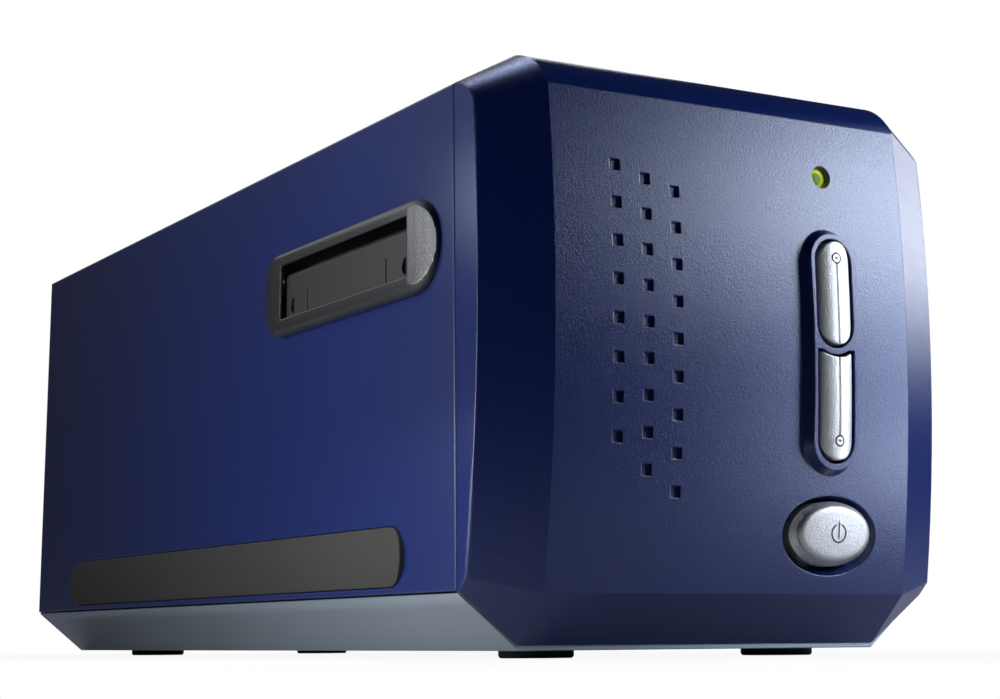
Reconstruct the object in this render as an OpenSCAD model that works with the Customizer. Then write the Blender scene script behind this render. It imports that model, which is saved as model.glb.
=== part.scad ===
// Film negative scanner: a desk-top case with a slot on each side for a film holder,
// a light and optics carriage that scans across the film, and a faceted front bezel.
// Millimetres. X runs to the right, Y to the back and Z up. The origin lies on the
// table, under the middle of the whole scanner, its buttons included.

/* [Case] */
// Depth from the foremost point of the bezel to the back edge
case_d = 272; // [262:1:290]
// Width across the two side walls
case_w = 114.2; // [112:0.2:122]
// Height of the flat top above the table
case_h = 119; // [117:0.5:126]
// Width of each chamfer along the top edges
shoulder_w = 12.6; // [9:0.2:14]
// Height of each chamfer along the top edges
shoulder_h = 6.8; // [5:0.2:8]
// Width of the flat underside
floor_w = 87.2; // [84:0.4:90]
// Height of the joint between cover and base tray
split_z = 12.5; // [11.5:0.1:13]
// Wall of the case mouldings
wall = 2.4; // [2:0.1:2.8]
// Width of the seams between the mouldings
seam = 0.35; // [0.2:0.05:0.5]

/* [Bezel] */
// Depth of the bezel from its foremost point to the seam
bezel_d = 16.1; // [15.7:0.1:17]
// Radius of the bow of the front face, seen from the side
bow_r = 356; // [340:2:400]
// Height of the foremost line of the bow
bow_z = 77; // [72:0.5:80]
// Width of the front face between its side chamfers
face_w = 88; // [86:0.5:90]
// How far the side chamfers lead back
cheek_d = 7.1; // [6:0.1:7.5]
// How far the front face's upper edge lies below the flat top
brow_drop = 8.4; // [7.6:0.1:9]
// Height of the front face's lower edge
chin_z = 12.1; // [11.5:0.1:13]
// Step between the underside of the bezel and that of the tray
lip_step = 1; // [0.6:0.1:1.4]
// Radius of the rolled upper chamfer
brow_r = 15; // [12:0.5:30]

/* [Dimples] */
// Side of each square dimple in the front face
dimple_w = 2.3; // [1.6:0.1:2.6]
// Depth of the dimples
dimple_depth = 0.8; // [0.6:0.1:1.4]
// Distance between the columns of dimples
dimple_gap = 7.05; // [6:0.05:7.5]

/* [Buttons] */
// Height of the power button's middle above the face's lower edge
power_rise = 12.15; // [11.5:0.05:13]
// Distance of the indicator below the face's upper edge
lens_drop = 12.1; // [11:0.1:14]
// Distance of the controls from the middle of the face
control_x = 22.9; // [22:0.1:24.6]
// Width of the two scan buttons
key_w = 8.3; // [8:0.1:9]
// Height of each scan button
key_h = 21.6; // [20:0.2:22.2]
// Gap between a button and its opening
key_gap = 0.65; // [0.4:0.05:0.7]
// Width of the frame round the scan buttons
frame_w = 0.8; // [0.6:0.1:1.1]
// How far the frame stands proud of the face
frame_h = 2.1; // [1.8:0.1:2.6]
// How far the scan buttons rise above their frame
crown_rise = 1.2; // [0.8:0.1:1.4]
// Travel of every button
key_travel = 0.8; // [0.5:0.1:0.9]
// Width of the power button
power_w = 21; // [19:0.5:22]
// Height of the power button
power_h = 13; // [12:0.25:13.5]
// Radius of the indicator lens
lens_r = 2.1; // [1.8:0.1:2.4]

/* [Film slot] */
// Length of the slot for the film holder
slot_l = 62; // [60:1:66]
// Height of the slot
slot_h = 12.5; // [12:0.25:13.5]
// Distance of the slot's middle behind the foremost point
slot_y = 61.8; // [60:0.2:68]
// Height of the slot's middle
slot_z = 81.4; // [80:0.1:82]
// How far the slot surround stands proud of the side
surround_h = 2.9; // [2.2:0.1:3.6]
// Width of the surround round the slot, above and below
surround_rim = 3.5; // [3:0.1:3.8]
// Width of the surround at its front end
surround_end = 9.2; // [8.4:0.1:11]
// How much wider the surround is at its rear end
surround_extra = 3.6; // [0:0.2:4]
// Thickness of the dust doors
door_t = 1.4; // [1.2:0.1:1.5]
// Radius of the dust doors' hinge pins
pin_r = 0.8; // [0.6:0.05:0.85]

/* [Grip strips] */
// Distance of the strip's middle behind the foremost point
strip_y = 139.3; // [136:0.1:142]
// Height of the strip's middle
strip_z = 20.05; // [19.6:0.05:20.6]
// Length of the strip along each side
strip_l = 203.6; // [180:2:210]
// Height of the strip
strip_h = 11.9; // [10:0.2:12.4]
// How far the middle of the strip stands proud
strip_proud = 1; // [0.6:0.1:1.4]

/* [Feet] */
// Radius of the rubber feet
foot_r = 7.6; // [6.5:0.1:8]
// Height of the feet below the tray
foot_h = 1.5; // [1.2:0.1:2]

/* [Carriage] */
// Scan travel of the carriage
scan_travel = 30; // [26:1:30]
// Radius of the two guide rods
rod_r = 3; // [2.5:0.25:3.5]
// Distance of each guide rod from the middle
rod_x = 34; // [33:0.5:35]
// Radius of the belt pulleys
pulley_r = 5; // [4.5:0.25:5.5]
// Radius of the lens barrel
barrel_r = 9; // [7:0.5:10]

/* [Hidden] */

$fn = 48;
fine = 360;        // facets of the large, shallow curves
big = 400;         // side of the blocks that cut a facet
eps = 0.5;         // how far a cutter runs past a face
fit = 0.3;         // gap between pieces that seat on each other
run = 0.05;        // radial clearance of a turning or sliding fit
skin = 0.02;       // radial clearance of a pin held in its bore

// --- Outline of the case -------------------------------------------------------
key_proud = frame_h + crown_rise;
front_y = -(case_d - key_proud) / 2;
back_y = front_y + case_d;
seam_y = front_y + bezel_d;
half_w = case_w / 2;
bezel_floor_z = foot_h + lip_step;
brow_z = case_h - brow_drop;
face_x = face_w / 2;

function unit(v) = v / norm(v);
function ring_next(pts, i) = pts[(i + 1) % len(pts)];
function ring_prev(pts, i) = pts[(i + len(pts) - 1) % len(pts)];
function inward(a, b) = [unit(b - a).y, -unit(b - a).x];
// Corner of a clockwise outline, moved in by t from both of its edges
function inset_corner(p, n1, n2, t) = p + t * (n1 + n2) / (1 + n1 * n2);
function inset(pts, t) = [
  for (i = [0 : len(pts) - 1])
    inset_corner(pts[i], inward(ring_prev(pts, i), pts[i]), inward(pts[i], ring_next(pts, i)), t)
];

// Cross-section of the case, seen from the front, with its underside at low_z
function section(low_z) = [
  [-half_w, split_z], [-half_w, case_h - shoulder_h], [-half_w + shoulder_w, case_h],
  [half_w - shoulder_w, case_h], [half_w, case_h - shoulder_h], [half_w, split_z],
  [floor_w / 2, low_z], [-floor_w / 2, low_z]
];

// Depth of the bowed face at height z, measured t below its skin
function bow_y(z, t = 0) = front_y + bow_r - sqrt(pow(bow_r - t, 2) - pow(z - bow_z, 2));
function bow_tilt(z) = asin((bow_z - z) / bow_r);

module along_y(y0, y1) {
  translate([0, y1, 0]) rotate([90, 0, 0]) linear_extrude(y1 - y0) children();
}

module along_x(x0, x1) {
  translate([x0, 0, 0]) rotate([90, 0, 90]) linear_extrude(x1 - x0) children();
}

module block(low, high) {
  translate(low) cube(high - low);
}

module rod_y(r, x, z, y0, y1) {
  translate([x, y0, z]) rotate([-90, 0, 0]) cylinder(r = r, h = y1 - y0);
}

module rod_x(r, y, z, x0, x1) {
  translate([x0, y, z]) rotate([0, 90, 0]) cylinder(r = r, h = x1 - x0);
}

module both_sides() {
  children();
  mirror([1, 0, 0]) children();
}

// A block that fills all space beyond the plane through p, moved in by t
module beyond(p, n, t) {
  translate(p - t * n)
    rotate([0, acos(n.z), atan2(n.y, n.x)])
      translate([-big / 2, -big / 2, 0]) cube(big);
}

// --- Front bezel ---------------------------------------------------------------
cheek_a = atan2(cheek_d, half_w - face_x);
cheek_r = bow_r / cos(cheek_a);
brow_run = 12.1;        // how far the upper chamfer leads back
chin_run = seam_y - fit - bow_y(chin_z);
top_facet_drop = 3.8;   // how far the upper corner facets reach down the ridges
low_facet_rise = 2.9;   // how far the lower corner facets reach up the ridges
corner_a = 24;          // half angle of the cones that roll the upper corners

module bow(t) {
  rod_x_big(bow_r - t, front_y + bow_r, bow_z);
}

module rod_x_big(r, y, z) {
  translate([-big / 2, y, z]) rotate([0, 90, 0]) cylinder(r = r, h = big, $fn = fine);
}

// The side chamfer carries the same bow, drawn along its own slanted direction
module cheek(t) {
  translate([face_x - cheek_r * sin(cheek_a), front_y + cheek_r * cos(cheek_a), bow_z])
    rotate([0, 90, cheek_a])
      cylinder(r = cheek_r - t, h = 2 * big, center = true, $fn = fine);
}

// The upper chamfer is rolled: a wedge ahead of its two long edges, less a round bar
module brow_cut(t) {
  low = [bow_y(brow_z), brow_z];
  high = low + [brow_run, brow_drop];
  chord = norm(high - low);
  out = (high - low) / chord;
  reach = sqrt(pow(brow_r, 2) - pow(chord / 2, 2));
  centre = (low + high) / 2 + reach * [out.y, -out.x];
  far = 4 * chord / brow_r;
  difference() {
    along_x(-case_w, case_w)
      polygon([centre, centre + far * (low - centre), centre + far * (high - centre)]);
    rod_x_big(brow_r - t, centre.x, centre.y);
  }
}

// The upper corners are rolled too, round a cone through the two long edges of each corner
module corner_roll(a, b, c, n, t) {
  along = unit(a - c);
  slant = unit(b - [half_w, seam_y, case_h - shoulder_h]);
  span = acos(along * slant);
  side = unit(cross(n, along));
  apart = abs((b - a) * side);
  tip = a - (apart / sin(span) * cos(span) - (b - a) * along) * along;
  mean = unit(along + slant);
  lean = acos(cos(corner_a) / cos(span / 2));
  axis = cos(lean) * mean - sin(lean) * n;
  reach = 2 * norm(b - tip);
  translate(tip + t / sin(corner_a) * axis)
    rotate([0, acos(axis.z), atan2(axis.y, axis.x)])
      cylinder(r1 = 0, r2 = reach * tan(corner_a), h = reach, $fn = fine);
}

// Facets that cut the four corners of the front
module corner_cuts(t) {
  a = [face_x, bow_y(brow_z), brow_z];
  b = [half_w - shoulder_w, bow_y(brow_z) + brow_run, case_h];
  c = [half_w, bow_y(brow_z - top_facet_drop) + cheek_d, brow_z - top_facet_drop];
  n = -unit(cross(b - a, c - a));
  difference() {
    beyond(a, n, t);
    corner_roll(a, b, c, n, t);
  }
  d = [face_x, bow_y(chin_z), chin_z];
  e = [half_w, bow_y(chin_z + low_facet_rise) + cheek_d, chin_z + low_facet_rise];
  f = [floor_w / 2, seam_y - fit, bezel_floor_z];
  beyond(d, -unit(cross(e - d, f - d)), t);
}

module chin_cut(t) {
  slope = unit([bezel_floor_z - chin_z, -chin_run]);
  beyond([0, bow_y(chin_z), chin_z], [0, slope.x, slope.y], t);
}

// The gem-cut outer form of the bezel, moved in by t, up to depth back
module bezel_form(t, back) {
  difference() {
    intersection() {
      along_y(front_y - eps, back) polygon(inset(section(bezel_floor_z), t));
      bow(t);
      cheek(t);
      mirror([1, 0, 0]) cheek(t);
    }
    both_sides() corner_cuts(t);
    brow_cut(t);
    chin_cut(t);
  }
}

lip_l = 4;          // how far the bezel's lip enters the case
lip_t = 1.4;        // thickness of that lip
lip_root = 4;       // length of the lip's root inside the bezel
bezel_back = seam_y - seam / 2;

// A tube that follows the case's outline, between two depths below its skin
module case_ring(low_z, outer_t, inner_t, y0, y1) {
  difference() {
    along_y(y0, y1) polygon(inset(section(low_z), outer_t));
    along_y(y0 - eps, y1 + eps) polygon(inset(section(low_z), inner_t));
  }
}

module bezel_lip() {
  intersection() {
    union() {
      case_ring(bezel_floor_z, wall - fit, wall + fit + lip_t, bezel_back - lip_root, bezel_back);
      case_ring(bezel_floor_z, wall + fit, wall + fit + lip_t, bezel_back - fit, bezel_back + lip_l);
    }
    bezel_form(wall - fit, back_y);
  }
}

// --- Places of the controls --------------------------------------------------------
pair_gap = 2;                   // distance between the two scan buttons
draft = 1.05;                   // how far the frame's walls lean in over its height
well_rim = 1.05;                // width of the dished ring round the power button
power_z = chin_z + power_rise;
lens_z = brow_z - lens_drop;
lens_x = control_x + 0.1;
power_x = control_x + 0.7;
pair_share = 0.2822;            // share of the free height that lies below the scan buttons
pair_half = key_h + pair_gap / 2 + key_gap + frame_w + draft;
well_top = power_z + power_h / 2 + key_gap + well_rim;
free_h = lens_z - lens_r - well_top - 2 * pair_half;
pair_z = well_top + pair_share * free_h + pair_half;
board_t = 1.6;                  // thickness of the circuit boards
board_set = 1.9;                // distance of the button board ahead of the seam
board_y = seam_y - board_set;
// Cutters for the openings run from ahead of the buttons to behind the face's wall
cut_y = [front_y - 2 * key_proud, bow_y(power_z - power_h / 2, wall) + eps];

// --- Scan buttons and their raised frame -----------------------------------------
key_r = key_w / 2;
upper_z = [pair_z + pair_gap / 2, pair_z + pair_gap / 2 + key_h];
lower_z = [pair_z - pair_gap / 2 - key_h, pair_z - pair_gap / 2];
rim_r = key_r + key_gap + frame_w;
bridge_t = 0.6;                 // width of the strip of frame between the buttons, less a gap
horn_rise = 0.4;                // how far the lower button's two upper corners reach up

module stadium(r, z0, z1) {
  translate([control_x, z0 + r]) circle(r);
  translate([control_x, z1 - r]) circle(r);
  translate([control_x - r, z0 + r]) square([2 * r, z1 - z0 - 2 * r]);
}

module upper_outline(grow) {
  stadium(key_r + grow, upper_z[0] - grow, upper_z[1] + grow);
}

// The lower button's top follows the round end of the upper one
module lower_outline(grow) {
  top = lower_z[1] + grow;
  difference() {
    union() {
      stadium(key_r + grow, lower_z[0] - grow, top);
      translate([control_x - key_r - grow, pair_z - key_h / 2])
        square([2 * (key_r + grow), top - pair_z + key_h / 2 + horn_rise]);
    }
    translate([control_x, upper_z[0] + key_r])
      circle(key_r + 2 * key_gap + bridge_t + key_gap - grow);
  }
}

module drafted_stadium(base_r, top_r, height, half_l) {
  for (s = [-1, 1])
    translate([0, 0, s * half_l]) rotate([90, 0, 0]) cylinder(r1 = base_r, r2 = top_r, h = height);
  translate([0, 0, -half_l])
    linear_extrude(2 * half_l)
      polygon([[-base_r, 0], [base_r, 0], [top_r, -height], [-top_r, -height]]);
}

module button_frame() {
  sunk = wall / 2;
  slope = draft / frame_h;
  height = sunk + frame_h + 1;
  half_l = (upper_z[1] - lower_z[0]) / 2 - key_r;
  intersection() {
    translate([control_x, bow_y(pair_z) + sunk, pair_z])
      rotate([bow_tilt(pair_z), 0, 0])
        drafted_stadium(rim_r + draft + slope * sunk, rim_r - slope, height, half_l);
    bow(-frame_h);
  }
}

// --- Power button -----------------------------------------------------------------
well_depth = 1.7;       // depth of the dished ring round the power button
ellipse_steps = 72;

function ellipse(w, h) = [
  for (i = [0 : ellipse_steps - 1])
    [w / 2 * cos(i * 360 / ellipse_steps), h / 2 * sin(i * 360 / ellipse_steps)]
];

module power_outline(grow) {
  translate([power_x, power_z]) polygon(ellipse(power_w + 2 * grow, power_h + 2 * grow));
}

// An elliptical ring that leads down to the power button's opening
module power_well() {
  side = power_w + 2 * (key_gap + well_rim);
  squash = (power_h + 2 * (key_gap + well_rim)) / side;
  slope = well_rim / well_depth;
  deep = 1.5 * well_depth;
  translate([power_x, bow_y(power_z) + deep, power_z])
    rotate([bow_tilt(power_z), 0, 0])
      scale([1, 1, squash])
        rotate([90, 0, 0])
          cylinder(r1 = side / 2 - slope * deep, r2 = side / 2 + slope, h = deep + 1);
}

// --- Dimples, indicator and board bosses --------------------------------------------
// The three columns of dimples: number of rows, height of the lowest row and pitch
dimple_x = -29.4;       // place of the first column
dimple_rows = [8, 9, 9];
dimple_low = [41.7, 35.6, 31.6];
dimple_pitch = [7.67, 7.2, 7.46];
lens_sunk = 1.1;        // how far the crest of the lens lies behind the face
lens_gap = 0.25;        // gap round the lens
lens_dome = 1.5;        // radius of the lens's dome, as a multiple of the lens's own
board_side = [13.2, 14.2];      // reach of the button board on each side of the controls
board_end = [7.25, 6.9];        // its reach below the power button and above the lens
board_x = [control_x - board_side[0], control_x + board_side[1]];
board_z = [power_z - board_end[0], lens_z + board_end[1]];
boss_r = 2.6;
boss_out = 10;          // distance of the board's bosses from the controls' line
boss_in = [12.25, 6.1]; // their distance above the power button and below the lens
boss_x = [control_x - boss_out, control_x + boss_out];
boss_z = [power_z + boss_in[0], lens_z - boss_in[1]];
boss_spots = [for (x = boss_x) for (z = boss_z) [x, z]];
boss_hole = 5;          // depth of the screw holes in the bosses
screw_r = 1;

module dimples() {
  for (c = [0 : len(dimple_rows) - 1])
    for (i = [0 : dimple_rows[c] - 1]) {
      z = dimple_low[c] + i * dimple_pitch[c];
      x = dimple_x + c * dimple_gap;
      block([x - dimple_w / 2, front_y - eps, z - dimple_w / 2],
            [x + dimple_w / 2, bow_y(z) + dimple_depth, z + dimple_w / 2]);
    }
}

module board_bosses() {
  for (p = boss_spots)
    difference() {
      rod_y(boss_r, p[0], p[1], bow_y(p[1]) + wall / 2, board_y);
      rod_y(screw_r + skin, p[0], p[1], board_y - boss_hole, board_y + eps);
    }
}

module front_bezel() {
  color("#2b2d63")
  union() {
    difference() {
      union() {
        bezel_form(0, bezel_back);
        button_frame();
      }
      bezel_form(wall, bezel_back + eps);
      along_y(cut_y[0], cut_y[1]) upper_outline(key_gap);
      along_y(cut_y[0], cut_y[1]) lower_outline(key_gap);
      along_y(cut_y[0], cut_y[1]) power_outline(key_gap);
      power_well();
      rod_y(lens_r + lens_gap, lens_x, lens_z, cut_y[0], cut_y[1]);
      dimples();
    }
    board_bosses();
    bezel_lip();
  }
}

crown_r = 7.5;          // radius of the scan buttons' crown across their width
groove_w = 0.55;        // width of the groove down each scan button
groove_depth = 0.45;
groove_end = 3.6;       // distance of the groove's end from the button's round end
tab_w = 1.3;            // how far the retaining tabs reach past the opening
tab_t = 1.1;            // thickness of the retaining tabs
stem_r = 2;
switch_w = 6;           // side of a switch's square body
switch_h = 3.4;         // height of that body above the board
plunger_r = 1.7;
plunger_h = 0.9;        // length of a switch's plunger
key_slack = 0.1;        // gap between stem and plunger when a button is pressed home
stem_y = board_y - switch_h - plunger_h - key_travel - key_slack;

// Crowned upper surface of a scan button, from the frame's curve
module key_form(z_mid) {
  intersection() {
    bow(-key_proud);
    translate([control_x, bow_y(z_mid) - key_proud, z_mid])
      rotate([bow_tilt(z_mid), 0, 0])
        translate([0, crown_r, 0]) cylinder(r = crown_r, h = 2 * key_h, center = true);
  }
}

// Retaining tabs behind the bezel's wall, and the stem that presses the switch
module key_body(z_mid, tab_z, tab_y) {
  block([control_x - key_r - key_gap - tab_w, tab_y, tab_z[0]],
        [control_x + key_r + key_gap + tab_w, tab_y + tab_t, tab_z[1]]);
  rod_y(stem_r, control_x, z_mid, tab_y, stem_y);
}

module scan_key(z_range, groove_z) {
  z_mid = (z_range[0] + z_range[1]) / 2;
  tab_z = [z_mid - key_h / 3, z_mid + key_h / 3];
  tab_y = max(bow_y(tab_z[0], wall), bow_y(tab_z[1], wall)) + fit;
  color("#c9ccd0")
  difference() {
    union() {
      intersection() {
        along_y(cut_y[0], tab_y + tab_t) children();
        key_form(z_mid);
      }
      key_body(z_mid, tab_z, tab_y);
    }
    difference() {
      block([control_x - groove_w / 2, front_y - 2 * key_proud, groove_z[0]],
            [control_x + groove_w / 2, front_y + key_proud, groove_z[1]]);
      bow(groove_depth - key_proud);
    }
  }
}

module upper_scan_button() {
  scan_key(upper_z, [upper_z[0] - 1, upper_z[1] - groove_end]) upper_outline(0);
}

module lower_scan_button() {
  scan_key(lower_z, [lower_z[0] + groove_end, lower_z[1] + 1]) lower_outline(0);
}

power_proud = 2.5;      // how far the power button stands proud of the face
power_lean = 1.6;       // how far its flank leans in from the face up to its crest
power_dome = 90;        // radius of its shallow dome
power_tab_h = 6;        // height of its retaining tabs

module power_button() {
  tab_z = [power_z - power_tab_h / 2, power_z + power_tab_h / 2];
  tab_y = bow_y(tab_z[0], wall) + fit;
  face_y = bow_y(power_z) - power_proud;
  tilt = bow_tilt(power_z);
  color("#c9ccd0")
  union() {
    intersection() {
      along_y(cut_y[0], tab_y + tab_t) power_outline(0);
      translate([power_x, face_y, power_z]) rotate([tilt, 0, 0])
        translate([0, power_dome, 0]) sphere(power_dome, $fn = fine / 2);
      translate([power_x, bow_y(power_z), power_z]) rotate([tilt, 0, 0])
        scale([1, 1, power_h / power_w]) rotate([90, 0, 0])
          translate([0, 0, -2 * power_proud])
            cylinder(r1 = power_w / 2 + 2 * power_lean, r2 = power_w / 2 - power_lean,
                     h = 3 * power_proud);
    }
    block([power_x - power_w / 2 - key_gap - tab_w, tab_y, tab_z[0]],
          [power_x + power_w / 2 + key_gap + tab_w, tab_y + tab_t, tab_z[1]]);
    rod_y(stem_r, control_x, power_z, tab_y, stem_y);
  }
}

lens_flange = 1.2;      // width of the lens's flange behind the wall
lens_flange_t = 1;

module indicator_lens() {
  face_y = bow_y(lens_z) + lens_sunk;
  dome_r = lens_dome * lens_r;
  inner_y = bow_y(lens_z, wall) + fit;
  color("#a8c81e")
  union() {
    intersection() {
      rod_y(lens_r, lens_x, lens_z, face_y - lens_r, inner_y + lens_flange_t);
      translate([lens_x, face_y + dome_r, lens_z]) sphere(dome_r);
    }
    rod_y(lens_r, lens_x, lens_z, inner_y, board_y - switch_h - fit);
    rod_y(lens_r + lens_flange, lens_x, lens_z, inner_y, inner_y + lens_flange_t);
  }
}

led_r = 1.5;

module button_board() {
  color("#1f5c3a")
  union() {
    difference() {
      block([board_x[0], board_y, board_z[0]], [board_x[1], board_y + board_t, board_z[1]]);
      for (p = boss_spots)
        rod_y(screw_r + skin, p[0], p[1], board_y - eps, board_y + board_t + eps);
    }
    for (z = [(upper_z[0] + upper_z[1]) / 2, (lower_z[0] + lower_z[1]) / 2, power_z]) {
      block([control_x - switch_w / 2, board_y - switch_h, z - switch_w / 2],
            [control_x + switch_w / 2, board_y, z + switch_w / 2]);
      rod_y(plunger_r, control_x, z, board_y - switch_h - plunger_h, board_y - switch_h);
    }
    rod_y(led_r, lens_x, lens_z, board_y - switch_h, board_y);
  }
}

module pan_screw_y(x, z, seat_y, shank_l, r) {
  rod_y(r, x, z, seat_y - shank_l, seat_y);
  rod_y(2 * r, x, z, seat_y, seat_y + 1.2 * r);
}

module button_board_screws() {
  color("#9a9da1")
  for (p = boss_spots)
    pan_screw_y(p[0], p[1], board_y + board_t, board_t + 0.8 * boss_hole, screw_r);
}

// --- Cover, tray and rear panel --------------------------------------------------------
cover_front = seam_y + seam / 2;
slot_mid_y = front_y + slot_y;
slot_half = [slot_l / 2, slot_h / 2];
spigot_wall = 2;            // wall of the spigot that carries a surround in the cover
spigot_half = [slot_half.x + spigot_wall, slot_half.y + spigot_wall];
hole_half = [spigot_half.x + fit, spigot_half.y + fit];
strip_mid_y = front_y + strip_y;
strip_seat = 0.8;           // how deep the strip lies in the side wall
rear_inset = 1.2;           // how far the rear panel lies inside the back edge
panel_y = back_y - rear_inset - wall;
panel_face = panel_y + wall;
panel_boss_r = 4.5;
panel_boss_l = 14;
boss_sink = 0.6;            // how far those bosses merge into the side wall
panel_screw_r = 1.5;
panel_screw_x = half_w - wall - panel_boss_r + boss_sink;
panel_screw_low = 24;       // height of the lower two screws of the rear panel
panel_screw_drop = 20;      // distance of the upper two below the flat top
panel_screw_z = [panel_screw_low, case_h - panel_screw_drop];
play = 0.2;                 // radial play of a screw in its clearance hole
tongue_h = 3.5;             // height of the tray's tongue inside the cover
tongue_t = 1.3;
head_r = 2.8;
head_h = 2;

module strip_form(grow, depth) {
  r = strip_h / 2 + grow;
  along_x(half_w - depth, half_w + 2 * strip_proud) {
    for (s = [-1, 1])
      translate([strip_mid_y + s * (strip_l / 2 - strip_h / 2), strip_z]) circle(r);
    translate([strip_mid_y - strip_l / 2 + strip_h / 2, strip_z - r])
      square([strip_l - strip_h, 2 * r]);
  }
}

module top_cover() {
  color("#232d5c")
  difference() {
    union() {
      intersection() {
        case_ring(foot_h, 0, wall, cover_front, back_y);
        block([-case_w, front_y, split_z + seam / 2], [case_w, back_y + eps, case_h + eps]);
      }
      both_sides()
        for (z = panel_screw_z)
          rod_y(panel_boss_r, panel_screw_x, z, panel_y - panel_boss_l, panel_y);
    }
    both_sides() {
      block([half_w - 2 * wall, slot_mid_y - hole_half.x, slot_z - hole_half.y],
            [half_w + eps, slot_mid_y + hole_half.x, slot_z + hole_half.y]);
      strip_form(fit / 2, strip_seat);
      for (z = panel_screw_z)
        rod_y(panel_screw_r + skin, panel_screw_x, z, panel_y - panel_boss_l - eps, panel_y + eps);
    }
  }
}

// Heights of the scan unit, taken down from the middle of the film slot
gate_t = 1.6;               // walls of the film gate
gate_low = slot_z - slot_half.y - 0.2 - gate_t;
optic_drop = 22.2;          // height of the slot above the middle of the optics
optic_z = slot_z - optic_drop;
plate_t = 3;                // thickness of the carriage's base plate
plate_drop = 9.5;           // height of the optics above that plate
plate_z = [optic_z - plate_drop - plate_t, optic_z - plate_drop];
rod_drop = 8;               // height of the plate above the guide rods
rod_z = plate_z[0] - rod_drop;
deck_t = 2.5;               // thickness of the chassis deck
deck_drop = 11.5;           // height of the guide rods above the deck
deck_top = rod_z - deck_drop;
post_top = deck_top - deck_t;

post_x = 38;                // distance of the tray's posts from the middle
post_in = [32, 38];         // distance of the posts from the seam and the back edge
post_y = [seam_y + post_in[0], back_y - post_in[1]];
post_r = 4.2;
post_cap = 4;               // height of the boss that takes each post's screw
base_screw_r = 1.5;
sink_h = 4;                 // depth of the counterbores in the underside
board_low = 9;              // height of the main board
board_span = [32, 88];      // half width and length of the main board
board_back = panel_y - 1;
stand_in = [5, 8];          // distance of the stand-offs from the board's edges
stand_x = board_span.x - stand_in.x;
stand_y = [board_back - stand_in.y, board_back - board_span.y + stand_in.y];
stand_r = 2.6;

// The tray's tongue stands inside the cover's side walls, from z0 to z1
module tongue(outer_t, z0, z1) {
  intersection() {
    case_ring(foot_h, outer_t, wall + fit + tongue_t, cover_front + lip_l + 1, panel_y - 1);
    block([-case_w, front_y, z0], [case_w, back_y, z1]);
  }
}

module base_tray() {
  floor_z = foot_h + wall / 2;
  color("#8d99a3")
  difference() {
    union() {
      intersection() {
        case_ring(foot_h, 0, wall, cover_front, back_y);
        block([-case_w, front_y, 0], [case_w, back_y + eps, split_z - seam / 2]);
      }
      tongue(wall - fit, split_z - tongue_h, split_z - seam / 2);
      tongue(wall + fit, split_z - tongue_h, split_z + tongue_h);
      both_sides() {
        for (y = post_y)
          translate([post_x, y, floor_z]) cylinder(r = post_r, h = post_top - floor_z);
        for (y = stand_y)
          translate([stand_x, y, floor_z]) cylinder(r = stand_r, h = board_low - floor_z);
      }
    }
    both_sides()
      for (y = post_y)
        translate([post_x, y, 0]) {
          cylinder(r = base_screw_r + play, h = post_top + eps);
          cylinder(r = head_r + fit, h = foot_h + sink_h);
        }
  }
}

module base_screws() {
  seat_z = foot_h + sink_h;
  color("#8b8e92")
  both_sides()
    for (y = post_y)
      translate([post_x, y, seat_z - head_h]) {
        cylinder(r = head_r, h = head_h);
        cylinder(r = base_screw_r, h = head_h + deck_top + post_cap - seat_z);
      }
}

foot_x = [30.3, 26.8];      // distance of the front and the rear feet from the middle
foot_in = [31.5, 20];       // their distance from the foremost point and the back edge
foot_dish = 0.3;            // depth of the dish in a foot's underside
foot_edge = 0.4;            // bevel of its edge
foot_land = 1.2;            // width of the ring that it stands on

module foot(x, y) {
  land_r = foot_r - foot_edge - foot_land;
  color("#161616")
  translate([x, y, 0])
    rotate_extrude()
      polygon([
        [0, foot_dish], [land_r - foot_edge, foot_dish], [land_r, 0], [foot_r - foot_edge, 0],
        [foot_r, foot_edge], [foot_r, foot_h], [0, foot_h]
      ]);
}

usb_w = 12;
usb_h = 11;
usb_d = 16;
usb_x = 16;
usb_wall = 1;               // wall of the USB socket's shell
usb_deep = 9;               // depth of its mouth
usb_tongue = [5.6, 3.2];    // width and height of the contact block in the mouth
usb_tongue_in = 1.2;        // how far that block ends inside the mouth
inlet_w = 9;
inlet_h = 11;
inlet_d = 14;
inlet_x = -14;
inlet_bore_r = 3.2;
inlet_bore_l = 10;
inlet_pin_r = 1;
socket_z = board_low + board_t;

module rear_panel() {
  color("#20264f")
  difference() {
    along_y(panel_y, panel_face) polygon(inset(section(foot_h), wall + fit));
    block([usb_x - usb_w / 2 - fit, panel_y - eps, socket_z - fit],
          [usb_x + usb_w / 2 + fit, back_y, socket_z + usb_h + fit]);
    block([inlet_x - inlet_w / 2 - fit, panel_y - eps, socket_z - fit],
          [inlet_x + inlet_w / 2 + fit, back_y, socket_z + inlet_h + fit]);
    both_sides()
      for (z = panel_screw_z) {
        rod_y(panel_screw_r + play, panel_screw_x, z, panel_y - eps, panel_face + eps);
        rod_y(head_r + fit, panel_screw_x, z, panel_y + 0.4 * wall, panel_face + eps);
      }
  }
}

module rear_screws() {
  seat_y = panel_y + 0.4 * wall;
  color("#8b8e92")
  both_sides()
    for (z = panel_screw_z) {
      rod_y(panel_screw_r, panel_screw_x, z, panel_y - 0.7 * panel_boss_l, seat_y);
      rod_y(head_r, panel_screw_x, z, seat_y, panel_face - play / 2);
    }
}

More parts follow.
